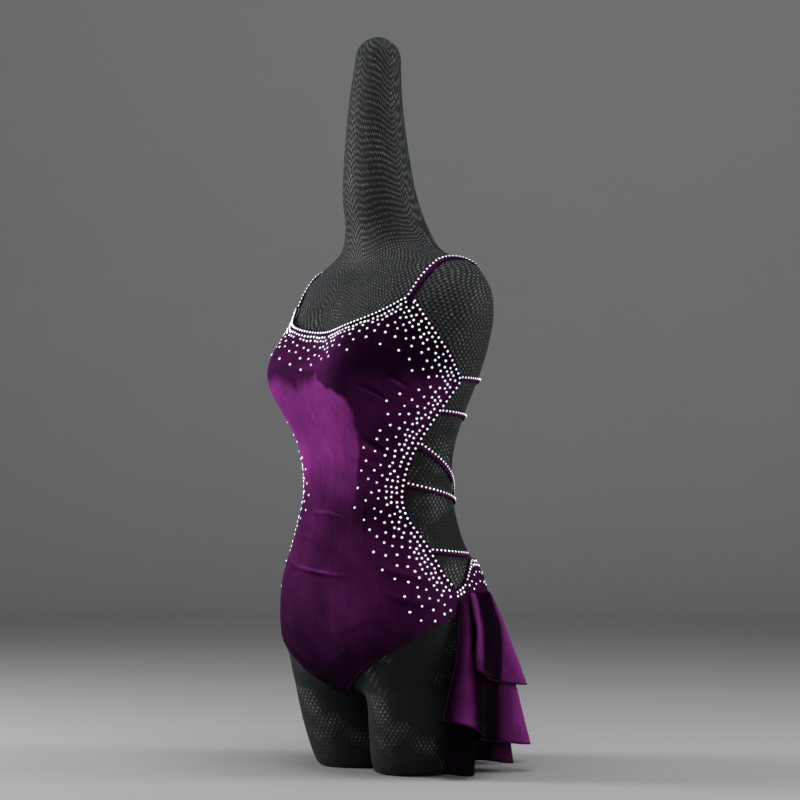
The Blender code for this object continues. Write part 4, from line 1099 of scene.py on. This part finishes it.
LOWER_TIER, MIDDLE_TIER, UPPER_TIER = 0, 1, 2
HEM_ROLL, HEM_STEP = 0.0010, 0.0022
STITCH_PITCH, STITCH_SHARE = 0.0045, 0.62        # and the share of it that shows as thread
TURNS, FALLS = 340, 50       # points round a tier, and down it
FREE_EDGE_ROW = 8            # a tier's side edge is free below this row


def tail_painted_light(turn, fall, index):
    """Painted light on the folds' outer sides and painted shade in the hollows between them."""
    folds = (1 - fold_valley(turn)) ** 2.2
    outer_end = 0.622 if index == UPPER_TIER else 0.600
    outer = smooth_step((outer_end - turn) / 0.040 + 0.5) * (0.30 + 0.66 * hump(turn, 0.51, 0.048))
    if index == UPPER_TIER:
        low_end = 1 - 0.60 * rising(fall, 0.68, 0.26)
        front_fold = 0.72 * low_end * hump(turn, 0.887 + 0.012 * fall, 0.019)
    else:
        place = 0.952 - 0.030 * fall
        strength = 0.03 if index == LOWER_TIER else 0.14 + 0.80 * fall ** 1.6
        front_fold = strength * (hump(turn, place, 0.018) + 0.30 * hump(turn, place + 0.024, 0.022))
    near_side = rising(turn, 0.42, 0.06)
    return 0.004 + 0.95 * (0.85 * folds * (1 - near_side) + (outer + front_fold) * near_side)


def ruffle(index, name):
    """One gathered tier with its rolled hem."""
    tier = RUFFLES[index]
    top = tier["top"]
    turn = np.linspace(-tier["right_share"], tier["left_share"], TURNS)
    level = np.linspace(0.0, 1.0, FALLS) ** 1.25
    height = top + (hem_height(tier, turn)[None, :] - top) * level[:, None]
    turn = np.broadcast_to(turn, height.shape)
    inner = tier_surface(index, turn, height)
    outward = unit(np.cross(np.gradient(inner, axis=1), np.gradient(inner, axis=0)))
    away = np.stack([inner[..., 0], inner[..., 1], np.zeros_like(height)], axis=-1)
    outward *= np.sign((outward * away).sum(axis=-1, keepdims=True))
    drop = top - height
    fall = drop / (top - hem_height(tier, turn))
    gathers = 0.0009 * np.exp(-(drop / 0.016)) * smooth_step(drop / 0.004)
    gathers = gathers * (1 + np.sin(turn * 150 + 2.2 * np.sin(turn * 31)))
    flutter = 0.0009 * rising(fall, 0.80, 0.20) * (1 + np.sin(turn * 64 + 1.7 * np.sin(turn * 11)))
    creases = 0.0004 * (1 + np.sin(turn * 90 + height * 60))
    creases = creases * np.sin(math.pi * np.clip(fall, 0, 1)) ** 2
    proud = CLOTH_WALL / 2 + gathers + flutter + creases
    grid = inner + outward * proud[..., None]
    # the lowest tier takes the darker copy, as painted shade; the other tiers' hems take the
    # lighter copy, as a painted highlight
    cloth, hem_cloth = (DARK, DARK) if index == LOWER_TIER else (PURPLE, HEM)
    piece = cloth_sheet(name, grid, outward, CLOTH_WALL, cloth, pile_and_painted_light=tail_painted_light(turn, fall, index))
    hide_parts(tier["node"])
    free = grid[FREE_EDGE_ROW:]
    edge = np.concatenate([free[:, 0], free[-1, 1:-1], free[::-1, -1]])
    roll = edge_roll(name + "_hem", even_along(edge, HEM_STEP), HEM_ROLL, hem_cloth)
    if index != LOWER_TIER:
        STITCHED.append((grid[-3] + outward[-3] * (CLOTH_WALL / 2), outward[-3], STITCH_PITCH))
    return piece, roll


tail = [ruffle(LOWER_TIER, "tail_lower"), ruffle(MIDDLE_TIER, "tail_middle"),
        ruffle(UPPER_TIER, "tail_upper")]


# ---------------------------------------------------------------- straps
def strap_starts(upper, lower):
    """Angles where a strap's two edges begin, so that its end clears the side edge between them."""
    heights = np.linspace(lower, upper, 15)
    edge = side_edge_angle(heights)
    chord = edge[0] + (edge[-1] - edge[0]) * (heights - lower) / (upper - lower)
    air = math.degrees(SEAM_GAP * 1.6 / WAIST_RADIUS) + float(np.max(edge - chord))
    return float(edge[-1]) + air, float(edge[0]) + air


def strap_path(name, angle):
    edge_height, lead_angle, lead_height, centre_height = BACK_STRAPS[name]
    start = float(side_edge_angle(edge_height))
    away = np.where(angle > 180.0, 360.0 - angle, angle)
    first = edge_height + (lead_height - edge_height) * (away - start) / (lead_angle - start)
    turn = np.clip((away - lead_angle) / (180.0 - lead_angle), 0.0, 1.0)
    rest = lead_height + (centre_height - lead_height) * (1 - (1 - turn) ** 2)
    return np.where(away <= lead_angle, first, rest)


def crossing_strap_edges(name):
    edge_height = BACK_STRAPS[name][0]
    half_width = BACK_STRAP_WIDTH / 2
    rows = []
    for half, start in zip((half_width, -half_width),
                           strap_starts(edge_height + half_width, edge_height - half_width)):
        angle = np.linspace(start, 360.0 - start, 145)
        rows.append(level_point(angle, strap_path(name, angle) + half))
    return rows


def slanting_strap_edges():
    tall = BACK_STRAP_WIDTH / 2 * 1.25
    heights = (SLANT_START + tall, SLANT_START - tall)
    share = np.linspace(0.0, 1.0, 61)
    rows = []
    for start, start_height, spread in zip(strap_starts(*heights), heights, (4.0, -4.0)):
        end = JOIN_ANGLE + spread
        joined_strap = float(strap_path("back_strap_4", np.array(end)))
        end_height = joined_strap + BACK_STRAP_WIDTH / 2 + SEAM_GAP * 2
        rows.append(level_point(start + (end - start) * share,
                                start_height + (end_height - start_height) * share))
    return rows


YOKE_STRAP_SLANT = 3.5       # degrees by which its lower edge stops short of its upper one


def yoke_strap_edges():
    half_width = BACK_STRAP_WIDTH / 2
    starts = strap_starts(YOKE_STRAP_START + half_width, YOKE_STRAP_START - half_width)
    share = np.linspace(0.0, 1.0, 41)
    rows = []
    for start, half in zip(starts, (half_width, -half_width)):
        end = YOKE_PEAK - (0.0 if half > 0 else YOKE_STRAP_SLANT)
        end_height = YOKE_PEAK_HEIGHT + SEAM_GAP * 3 + (BACK_STRAP_WIDTH if half > 0 else 0.0)
        height = YOKE_STRAP_START + half + (end_height - YOKE_STRAP_START - half) * share
        rows.append(level_point(start + (end - start) * share, height))
    return rows


NECK_CENTRE_Y, STRAP_CENTRE_Y = 0.028, 0.008   # the body's axis at a shoulder strap's two ends


def shoulder_strap_edges():
    share = np.linspace(0.0, len(SHOULDER_PATH) - 1.0, 109)
    steps = [(float(k),) + row for k, row in enumerate(SHOULDER_PATH)]
    guide = np.stack([smooth_curve(("step", "x", "y", "z"), steps, name, share)
                      for name in "xyz"], axis=-1)
    centre = surface_along(SHOULDER_HUB, guide - SHOULDER_HUB)
    across = unit(np.cross(body_normal(centre), np.gradient(centre, axis=0)))
    rows = []
    for half in (SHOULDER_STRAP_WIDTH / 2, -SHOULDER_STRAP_WIDTH / 2):
        row = surface_along(SHOULDER_HUB, centre + across * half - SHOULDER_HUB)
        front_bearing = math.degrees(math.atan2(row[0][0], -(row[0][1] - NECK_CENTRE_Y)))
        first = level_point(front_bearing, NECK_CORNER_HEIGHT + SEAM_GAP * 3)
        back_bearing = math.degrees(math.atan2(row[-1][0], -(row[-1][1] - STRAP_CENTRE_Y)))
        edge = float(strap_path("back_strap_1", np.array(back_bearing))) + BACK_STRAP_WIDTH / 2
        last = level_point(back_bearing, edge + SEAM_GAP * 2)
        fade = np.clip(np.arange(len(row)) / 9.0, 0.0, 1.0)[:, None]
        row = (row + (first - row[0]) * (1 - smooth_step(fade))
               + (last - row[-1]) * (1 - smooth_step(fade[::-1])))
        rows.append(settle(row))
    return rows


STRAP_CROWN = 0.0008         # how far a strap's middle stands above its edges


def strap(name, node_name, edges, gap, mirror=False):
    """A flat, slightly crowned strap between two edge lines; also gives its raised middle line."""
    side = np.array([-1.0, 1.0, 1.0]) if mirror else np.ones(3)
    upper, lower = [edge * side for edge in edges]
    shares = np.linspace(0.0, 1.0, 9)
    base = settle(np.array([upper + (lower - upper) * share for share in shares]), 3)
    out = body_normal(base)
    wide = gap == SHOULDER_GAP
    crown = STRAP_CROWN * (1.8 if wide else 1.0) * (1 - np.abs(2 * shares - 1) ** 3)
    grid = base + out * (gap + BAND_WALL / 2 + crown)[:, None, None]
    # a painted highlight along the strap's raised middle
    pile_and_painted_light = 0.06 + 0.16 * (crown / crown.max())[:, None]
    piece = cloth_sheet(name, grid, out, BAND_WALL, PURPLE, pile_and_painted_light=pile_and_painted_light)
    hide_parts(node_name)
    run = line_length(base[4])
    row = 3 if wide else max((2, len(shares) - 3), key=lambda k: base[k][:, 2].mean())
    top = base[row] + out[row] * (gap + BAND_WALL + crown[row])
    return piece, top, out[row]


straps = [strap("strap_" + name.replace("_strap", ""), name, crossing_strap_edges(name), STRAP_GAP)
          for name in BACK_STRAPS]
for key, edges, gap in (("back_strap_3", slanting_strap_edges(), STRAP_GAP),
                        ("back_strap_5", yoke_strap_edges(), STRAP_GAP),
                        ("shoulder_strap", shoulder_strap_edges(), SHOULDER_GAP)):
    for hand, mirror in (("left", False), ("right", True)):
        name = "strap_" + key.replace("_strap", "") + "_" + hand
        straps.append(strap(name, key + "_" + hand, edges, gap, mirror))


# ---------------------------------------------------------------- rhinestones
DRAW = np.random.default_rng(11)
STONE = 0.0036               # across
SET_HEIGHT = 0.00006         # air under a stone
STONE_SIDES = 8
BAND_PITCHES = (0.0055, 0.0076, 0.0076)                # on the neck band and the two side bands
# Rows on the panels, as (distance in from the edge, pitch).
NECK_ROWS = ((0.0098, 0.0060), (0.0156, 0.0070))
SIDE_ROWS = ((0.0102, 0.0070), (0.0168, 0.0074), (0.0236, 0.0086))
YOKE_ROWS = ((0.0045, 0.0060), (0.0104, 0.0066))
STRAP_PITCH, STRAP_END = 0.0064, 0.0035
# How far in from the side edge the scatter reaches, by height.
REACH_HEIGHTS = [0.20, 0.235, 0.262, 0.30, 0.36, 0.42, 0.47, 0.52, 0.60, 0.66]
SIDE_REACHES = [0.074, 0.076, 0.074, 0.072, 0.072, 0.076, 0.074, 0.076, 0.074, 0.068]
FRONT_TRIES, FRONT_ANGLES, FRONT_HEIGHTS = 40000, (-96, 96), (0.206, 0.656)
YOKE_TRIES, YOKE_ANGLES, YOKE_HEIGHTS = 7000, (93, 267), (0.2595, 0.302)
# The yoke's top edge, as angles from the front and heights.
YOKE_EDGE_ANGLES = [91.5, 100, 106, 110, 113.5, 180]
YOKE_EDGE_HEIGHTS = [0.262, 0.272, 0.289, 0.298, 0.302, 0.298]


def stone_shape():
    """One flat-backed stone, 1 across: a girdle, crown facets and a table."""
    stone = bmesh.new()
    bmesh.ops.create_cone(stone, cap_ends=True, segments=STONE_SIDES, radius1=0.5, radius2=0.5,
                          depth=0.12)
    table = [face for face in stone.faces if face.normal.z > 0.9]
    bmesh.ops.inset_individual(stone, faces=table, thickness=0.19, depth=0.19)
    bmesh.ops.translate(stone, verts=stone.verts, vec=(0.0, 0.0, 0.06))
    return stone


def stitch_shape():
    """One stitch, 1 long, bedded a little in the cloth."""
    stitch = bmesh.new()
    bmesh.ops.create_uvsphere(stitch, u_segments=6, v_segments=4, radius=0.5)
    lying = Matrix.Rotation(math.pi / 2, 3, "Y")
    bmesh.ops.rotate(stitch, verts=stitch.verts, cent=(0, 0, 0), matrix=lying)
    bmesh.ops.scale(stitch, verts=stitch.verts, vec=(1.0, 0.20, 0.16))
    return stitch


def joined_copies(name, shape, places, material):
    """Copies of a small shape at (point, outward, along, size) places, as one mesh."""
    one = bpy.data.meshes.new("one")
    shape.to_mesh(one)
    shape.free()
    joined = bmesh.new()
    for point, out, along, size in places:
        before = len(joined.verts)
        joined.from_mesh(one)
        joined.verts.ensure_lookup_table()
        up = Vector(out).normalized()
        side = up.cross(Vector(along)).normalized()
        turn = Matrix((side.cross(up), side, up)).transposed().to_4x4()
        place = Matrix.Translation(Vector(point) + Vector(SHIFT)) @ turn @ Matrix.Scale(size, 4)
        bmesh.ops.transform(joined, matrix=place, verts=joined.verts[before:])
    mesh = bpy.data.meshes.new(name)
    joined.to_mesh(mesh)
    joined.free()
    bpy.data.meshes.remove(one)
    return put_in_scene(name, mesh, material)


def joined_stones(name, places):
    """Stones as one mesh, each turned its own way round."""
    turned = [(point, out, np.cross(out, DRAW.normal(0.0, 1.0, 3)), size)
              for point, out, size in places]
    return joined_copies(name, stone_shape(), turned, CRYSTAL)


def stitches(name, lines):
    places = []
    for line, out, pitch in lines:
        points = even_along(line, pitch, pitch, pitch)
        places += list(zip(points, directions_along(out, len(points)), np.gradient(points, axis=0),
                           [pitch * STITCH_SHARE] * len(points)))
    return joined_copies(name, stitch_shape(), places, THREAD)


def lift_at(points, grid, lift):
    """The cloth's lift at points, from the nearest places of its grid."""
    flat, values = grid.reshape(-1, 3), lift.reshape(-1)
    found = np.empty(len(points))
    for k, point in enumerate(points):
        away = ((flat - point) ** 2).sum(axis=1)
        near = np.argpartition(away, 4)[:4]
        weight = 1.0 / (away[near] + 1e-8)
        found[k] = (values[near] * weight).sum() / weight.sum()
    return found


class StoneField:
    """Places that are taken, so that no two stones touch."""

    def __init__(self):
        self.points = np.zeros((0, 3))

    def take(self, candidates, spacing):
        spacing = np.broadcast_to(spacing, len(candidates))
        for point, room in zip(candidates, spacing):
            if len(self.points) and np.min(((self.points - point) ** 2).sum(axis=1)) < room ** 2:
                continue
            self.points = np.vstack([self.points, point])


def inset_line(line, inward, distance):
    return settle(line + inward * distance)


def directions_along(out, count):
    at, given = np.linspace(0, 1, count), np.linspace(0, 1, len(out))
    return np.stack([np.interp(at, given, out[:, k]) for k in range(3)], axis=-1)


def stone_row(line, out, pitch, end, size):
    """A row of stones on a raised line of cloth, and the places of their middles."""
    row = even_along(line, pitch, end, end)
    return [(point + facing * SET_HEIGHT, facing, size)
            for point, facing in zip(row, directions_along(out, len(row)))], row


def stones_on_panel(points, grid, lift, sizes):
    out = body_normal(points)
    return [(point + facing * (PANEL_OUT + up + SET_HEIGHT), facing, STONE * size)
            for point, facing, up, size in zip(points, out, lift_at(points, grid, lift), sizes)]


def side_lines():
    """The front's two side edges, each with its directions into the panel."""
    for column, inner in ((-1, -4), (0, 3)):
        line = FRONT[:SIDE_STOP + 2, column]
        inward = FRONT[:SIDE_STOP + 2, inner] - line
        tangent = unit(np.gradient(line, axis=0))
        inward -= tangent * (inward * tangent).sum(axis=-1, keepdims=True)
        yield line, unit(inward)


def leg_line_height(angle):
    """Height of the leg opening's edge; the wearer's right leg line is lower."""
    height = [row[0] for row in LEG_EDGE[::-1]] + [HUB_HEIGHT]
    left, right = [[row[k] for row in LEG_EDGE[::-1]] + [92.0] for k in (1, 3)]
    return np.where(angle > 0, np.interp(angle, left, height), np.interp(-angle, right, height))


def front_stones():
    field = StoneField()
    sides = list(side_lines())
    neck = FRONT[0]
    neck_in = unit(FRONT[3] - neck)
    # the rows on the bindings
    on_bands = []
    for (line, out), pitch in zip(BAND_TOPS, BAND_PITCHES):
        stones, row = stone_row(line, out, pitch, 0.004, STONE * 0.96)
        on_bands += stones
        field.points = np.vstack([field.points, row])
    # the rows beside them on the panel
    for distance, pitch in NECK_ROWS:
        row = even_along(inset_line(neck, neck_in, distance), pitch, 0.006, 0.006)
        field.take(settle(row + DRAW.normal(0, 0.0006, row.shape)), pitch * 0.78)
    for line, inward in sides:
        for k, (distance, pitch) in enumerate(SIDE_ROWS):
            row = even_along(inset_line(line, inward, distance), pitch, 0.004 + 0.004 * k, 0.002)
            field.take(settle(row + DRAW.normal(0, 0.0009, row.shape)), 0.0058)
    # the scatter inward, which thins out
    angle = DRAW.uniform(*FRONT_ANGLES, FRONT_TRIES)
    height = DRAW.uniform(*FRONT_HEIGHTS, FRONT_TRIES)
    inside = ((np.abs(angle) < side_edge_angle(np.maximum(height, 0.2281)) - 3.2)
              & (height < neck_height(angle) - 0.006) & (height > leg_line_height(angle) + 0.006))
    angle, height = angle[inside], height[inside]
    points = level_point(angle, height)
    to_side = np.minimum(*[nearest_on_line(points, line[::3])[0] for line, _ in sides])
    to_neck = nearest_on_line(points, neck[::2])[0]
    side_reach = np.interp(height, REACH_HEIGHTS, SIDE_REACHES)
    neck_reach = 0.066 - 0.010 * rising(np.abs(angle), 24, 14)
    near_side, near_neck = [np.maximum(1 - away / reach, 0)
                            for away, reach in ((to_side, side_reach), (to_neck, neck_reach))]
    closeness = 1 - (1 - near_side) * (1 - near_neck)
    keep = (closeness > 0.03) & (to_side > 0.0090) & (to_neck > 0.0085)
    order = np.argsort(-closeness[keep] + DRAW.uniform(0, 0.10, int(keep.sum())))
    room = 0.0060 + 0.0148 * (1 - closeness[keep][order]) ** 1.8
    room = room * DRAW.uniform(0.92, 1.25, len(room))
    field.take(points[keep][order], room)
    points = field.points[len(on_bands):]
    sizes = DRAW.choice([0.90, 1.0, 1.0, 1.06], len(points))
    return on_bands + stones_on_panel(points, FRONT, FRONT_LIFT, sizes)


def back_stones():
    field = StoneField()
    top = BACK[0]
    inward = unit(BACK[3] - top)
    for distance, pitch in YOKE_ROWS:
        row = even_along(inset_line(top, inward, distance), pitch, 0.003, 0.003)
        field.take(settle(row + DRAW.normal(0, 0.0005, row.shape)), 0.0052)
    angle = DRAW.uniform(*YOKE_ANGLES, YOKE_TRIES)
    height = DRAW.uniform(*YOKE_HEIGHTS, YOKE_TRIES)
    luck = DRAW.uniform(0, 1, YOKE_TRIES)
    points = level_point(angle, height)
    to_top = nearest_on_line(points, top[::2])[0]
    side = np.where(angle > 180, 360 - angle, angle)
    edge_height = np.interp(side, YOKE_EDGE_ANGLES, YOKE_EDGE_HEIGHTS)
    closeness = 1 - to_top / (0.046 - 0.012 * rising(side, 115, 40))
    keep = ((height < edge_height - 0.005) & (closeness > 0) & (luck < 0.35 + closeness)
            & (to_top > 0.005))
    order = np.argsort(-closeness[keep])
    room = 0.0066 + 0.010 * (1 - closeness[keep][order]) ** 1.3
    field.take(points[keep][order], room)
    sizes = DRAW.choice([0.80, 0.86, 1.0], len(field.points))
    return stones_on_panel(field.points, BACK, BACK_LIFT, sizes)


def strap_stones():
    places = []
    for _, top, out in straps:
        places += stone_row(top, out, STRAP_PITCH, STRAP_END, STONE * 0.86)[0]
    return places


stones = [joined_stones(name, find()) for name, find in (
    ("stones_front", front_stones), ("stones_back", back_stones), ("stones_straps", strap_stones))]

LEG_STITCH_INSET = 0.0055
for column, inner in ((-1, -4), (0, 3)):
    leg_edge = FRONT[LEVEL_COUNT:-2 * FINER, column]
    leg_line = inset_line(leg_edge, unit(FRONT[LEVEL_COUNT:-2 * FINER, inner] - leg_edge),
                          LEG_STITCH_INSET)
    leg_out = body_normal(leg_line)
    raised = PANEL_OUT + lift_at(leg_line, FRONT, FRONT_LIFT)
    STITCHED.append((leg_line + leg_out * raised[:, None], leg_out, STITCH_PITCH))
sewing = stitches("sewing", STITCHED)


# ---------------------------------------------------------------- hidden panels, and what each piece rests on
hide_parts("front_panel")
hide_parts("back_panel")
strap_pieces = [piece for piece, _, _ in straps]
for piece in (front, back, neck_band, *side_bands, sewing, *stones,
              *[part for pair in tail for part in pair], *strap_pieces):
    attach(piece, "root")

for piece, edge in zip((neck_band, *side_bands), (NECK_EDGE, LEFT_EDGE, RIGHT_EDGE)):
    run = line_length(edge)


# ---------------------------------------------------------------- floor, light and camera
FLOOR_RADIUS, COVE_RADIUS, WALL_TOP = 4.3, 1.5, 7.0
DARK_PAPER, PALE_PAPER = (0.42, 0.42, 0.425, 1), (0.44, 0.44, 0.445, 1)


def plain_stage():
    """A pale round floor that turns up into a plain wall."""
    sweep = bmesh.new()
    profile = [(0.0, 0.0), (1.5, 0.0), (FLOOR_RADIUS, 0.0)]
    profile += [(FLOOR_RADIUS + COVE_RADIUS * math.sin(t), COVE_RADIUS - COVE_RADIUS * math.cos(t))
                for t in np.linspace(0.15, math.pi / 2, 9)]
    profile += [(FLOOR_RADIUS + COVE_RADIUS, WALL_TOP)]
    line = [sweep.verts.new((0.0, y, z)) for y, z in profile]
    edges = [sweep.edges.new(pair) for pair in zip(line[:-1], line[1:])]
    bmesh.ops.spin(sweep, geom=line + edges, cent=(0, 0, 0), axis=(0, 0, 1), angle=2 * math.pi,
                   steps=72, use_merge=True, use_duplicate=False)
    bmesh.ops.remove_doubles(sweep, verts=sweep.verts, dist=1e-4)
    bmesh.ops.recalc_face_normals(sweep, faces=sweep.faces)
    mesh = bpy.data.meshes.new("studio_sweep")
    sweep.to_mesh(mesh)
    sweep.free()
    mesh.shade_smooth()
    material, tree, shader = new_material("studio_paper")
    place = node(tree, "ShaderNodeTexCoord").outputs["Object"]
    paper = mixed(tree, noise_at(tree, place, 3.0), DARK_PAPER, PALE_PAPER)
    tree.links.new(paper, shader.inputs["Base Color"])
    shader.inputs["Roughness"].default_value = 0.9
    shader.inputs["Specular IOR Level"].default_value = 0.1
    put_in_scene("studio_sweep", mesh, material)


def soft_light(name, azimuth, elevation, distance, size, power, outward=False):
    """A rectangular light round the dress; outward turns it away, toward the wall."""
    aim = Vector((0.0, 0.0, 0.45))
    azimuth, elevation = math.radians(azimuth), math.radians(elevation)
    from_aim = Vector((math.sin(azimuth) * math.cos(elevation),
                       -math.cos(azimuth) * math.cos(elevation), math.sin(elevation)))
    lamp = bpy.data.lights.new(name, "AREA")
    lamp.shape = "RECTANGLE"
    lamp.size, lamp.size_y = size
    lamp.energy = power
    holder = bpy.data.objects.new(name, lamp)
    holder.location = aim + from_aim * distance
    facing = Vector((from_aim.x, from_aim.y, 0.45)) if outward else -from_aim
    holder.rotation_euler = facing.to_track_quat("-Z", "Y").to_euler()
    bpy.context.scene.collection.objects.link(holder)


VIEW_TURN = 52.0             # degrees round toward the wearer's left
EYE_AWAY, EYE_HEIGHT, AIM_HEIGHT = 3.4, 0.39, 0.522
SPAN = 0.0014 * 800          # width of the view at the form's axis
SIDE_SHIFT = 21.0 / 800
SENSOR = 36.0


def camera_at_view():
    azimuth, tilt = math.radians(VIEW_TURN), math.atan2(AIM_HEIGHT - EYE_HEIGHT, EYE_AWAY)
    lens = bpy.data.cameras.new("camera")
    lens.sensor_width = SENSOR
    lens.lens = EYE_AWAY / SPAN * SENSOR
    lens.shift_x = SIDE_SHIFT
    lens.clip_start, lens.clip_end = 0.05, 60.0
    holder = bpy.data.objects.new("camera", lens)
    eye = Vector((EYE_AWAY * math.sin(azimuth), -EYE_AWAY * math.cos(azimuth), EYE_HEIGHT))
    ahead = Vector((-math.sin(azimuth) * math.cos(tilt), math.cos(azimuth) * math.cos(tilt),
                    math.sin(tilt)))
    holder.location = eye + Vector(SHIFT)
    holder.rotation_euler = ahead.to_track_quat("-Z", "Y").to_euler()
    bpy.context.scene.collection.objects.link(holder)
    bpy.context.scene.camera = holder


plain_stage()
# degrees round and up, metres away, size, and watts
soft_light("key_light", -44, 12, 2.6, (0.9, 1.3), 62)
soft_light("back_light", 134, 14, 2.4, (0.8, 1.3), 30)
soft_light("top_light", 60, 78, 2.4, (1.4, 1.4), 32)
soft_light("fill_light", 56, 14, 3.2, (1.8, 1.8), 10)
soft_light("wall_light", 232, 62, 2.2, (2.2, 1.0), 50, outward=True)
world = bpy.data.worlds.new("studio")
world.use_nodes = True
surround = world.node_tree.nodes["Background"].inputs
surround["Color"].default_value = (0.80, 0.81, 0.84, 1)
surround["Strength"].default_value = 0.14
bpy.context.scene.world = world
bpy.context.scene.view_settings.view_transform = "Standard"
camera_at_view()
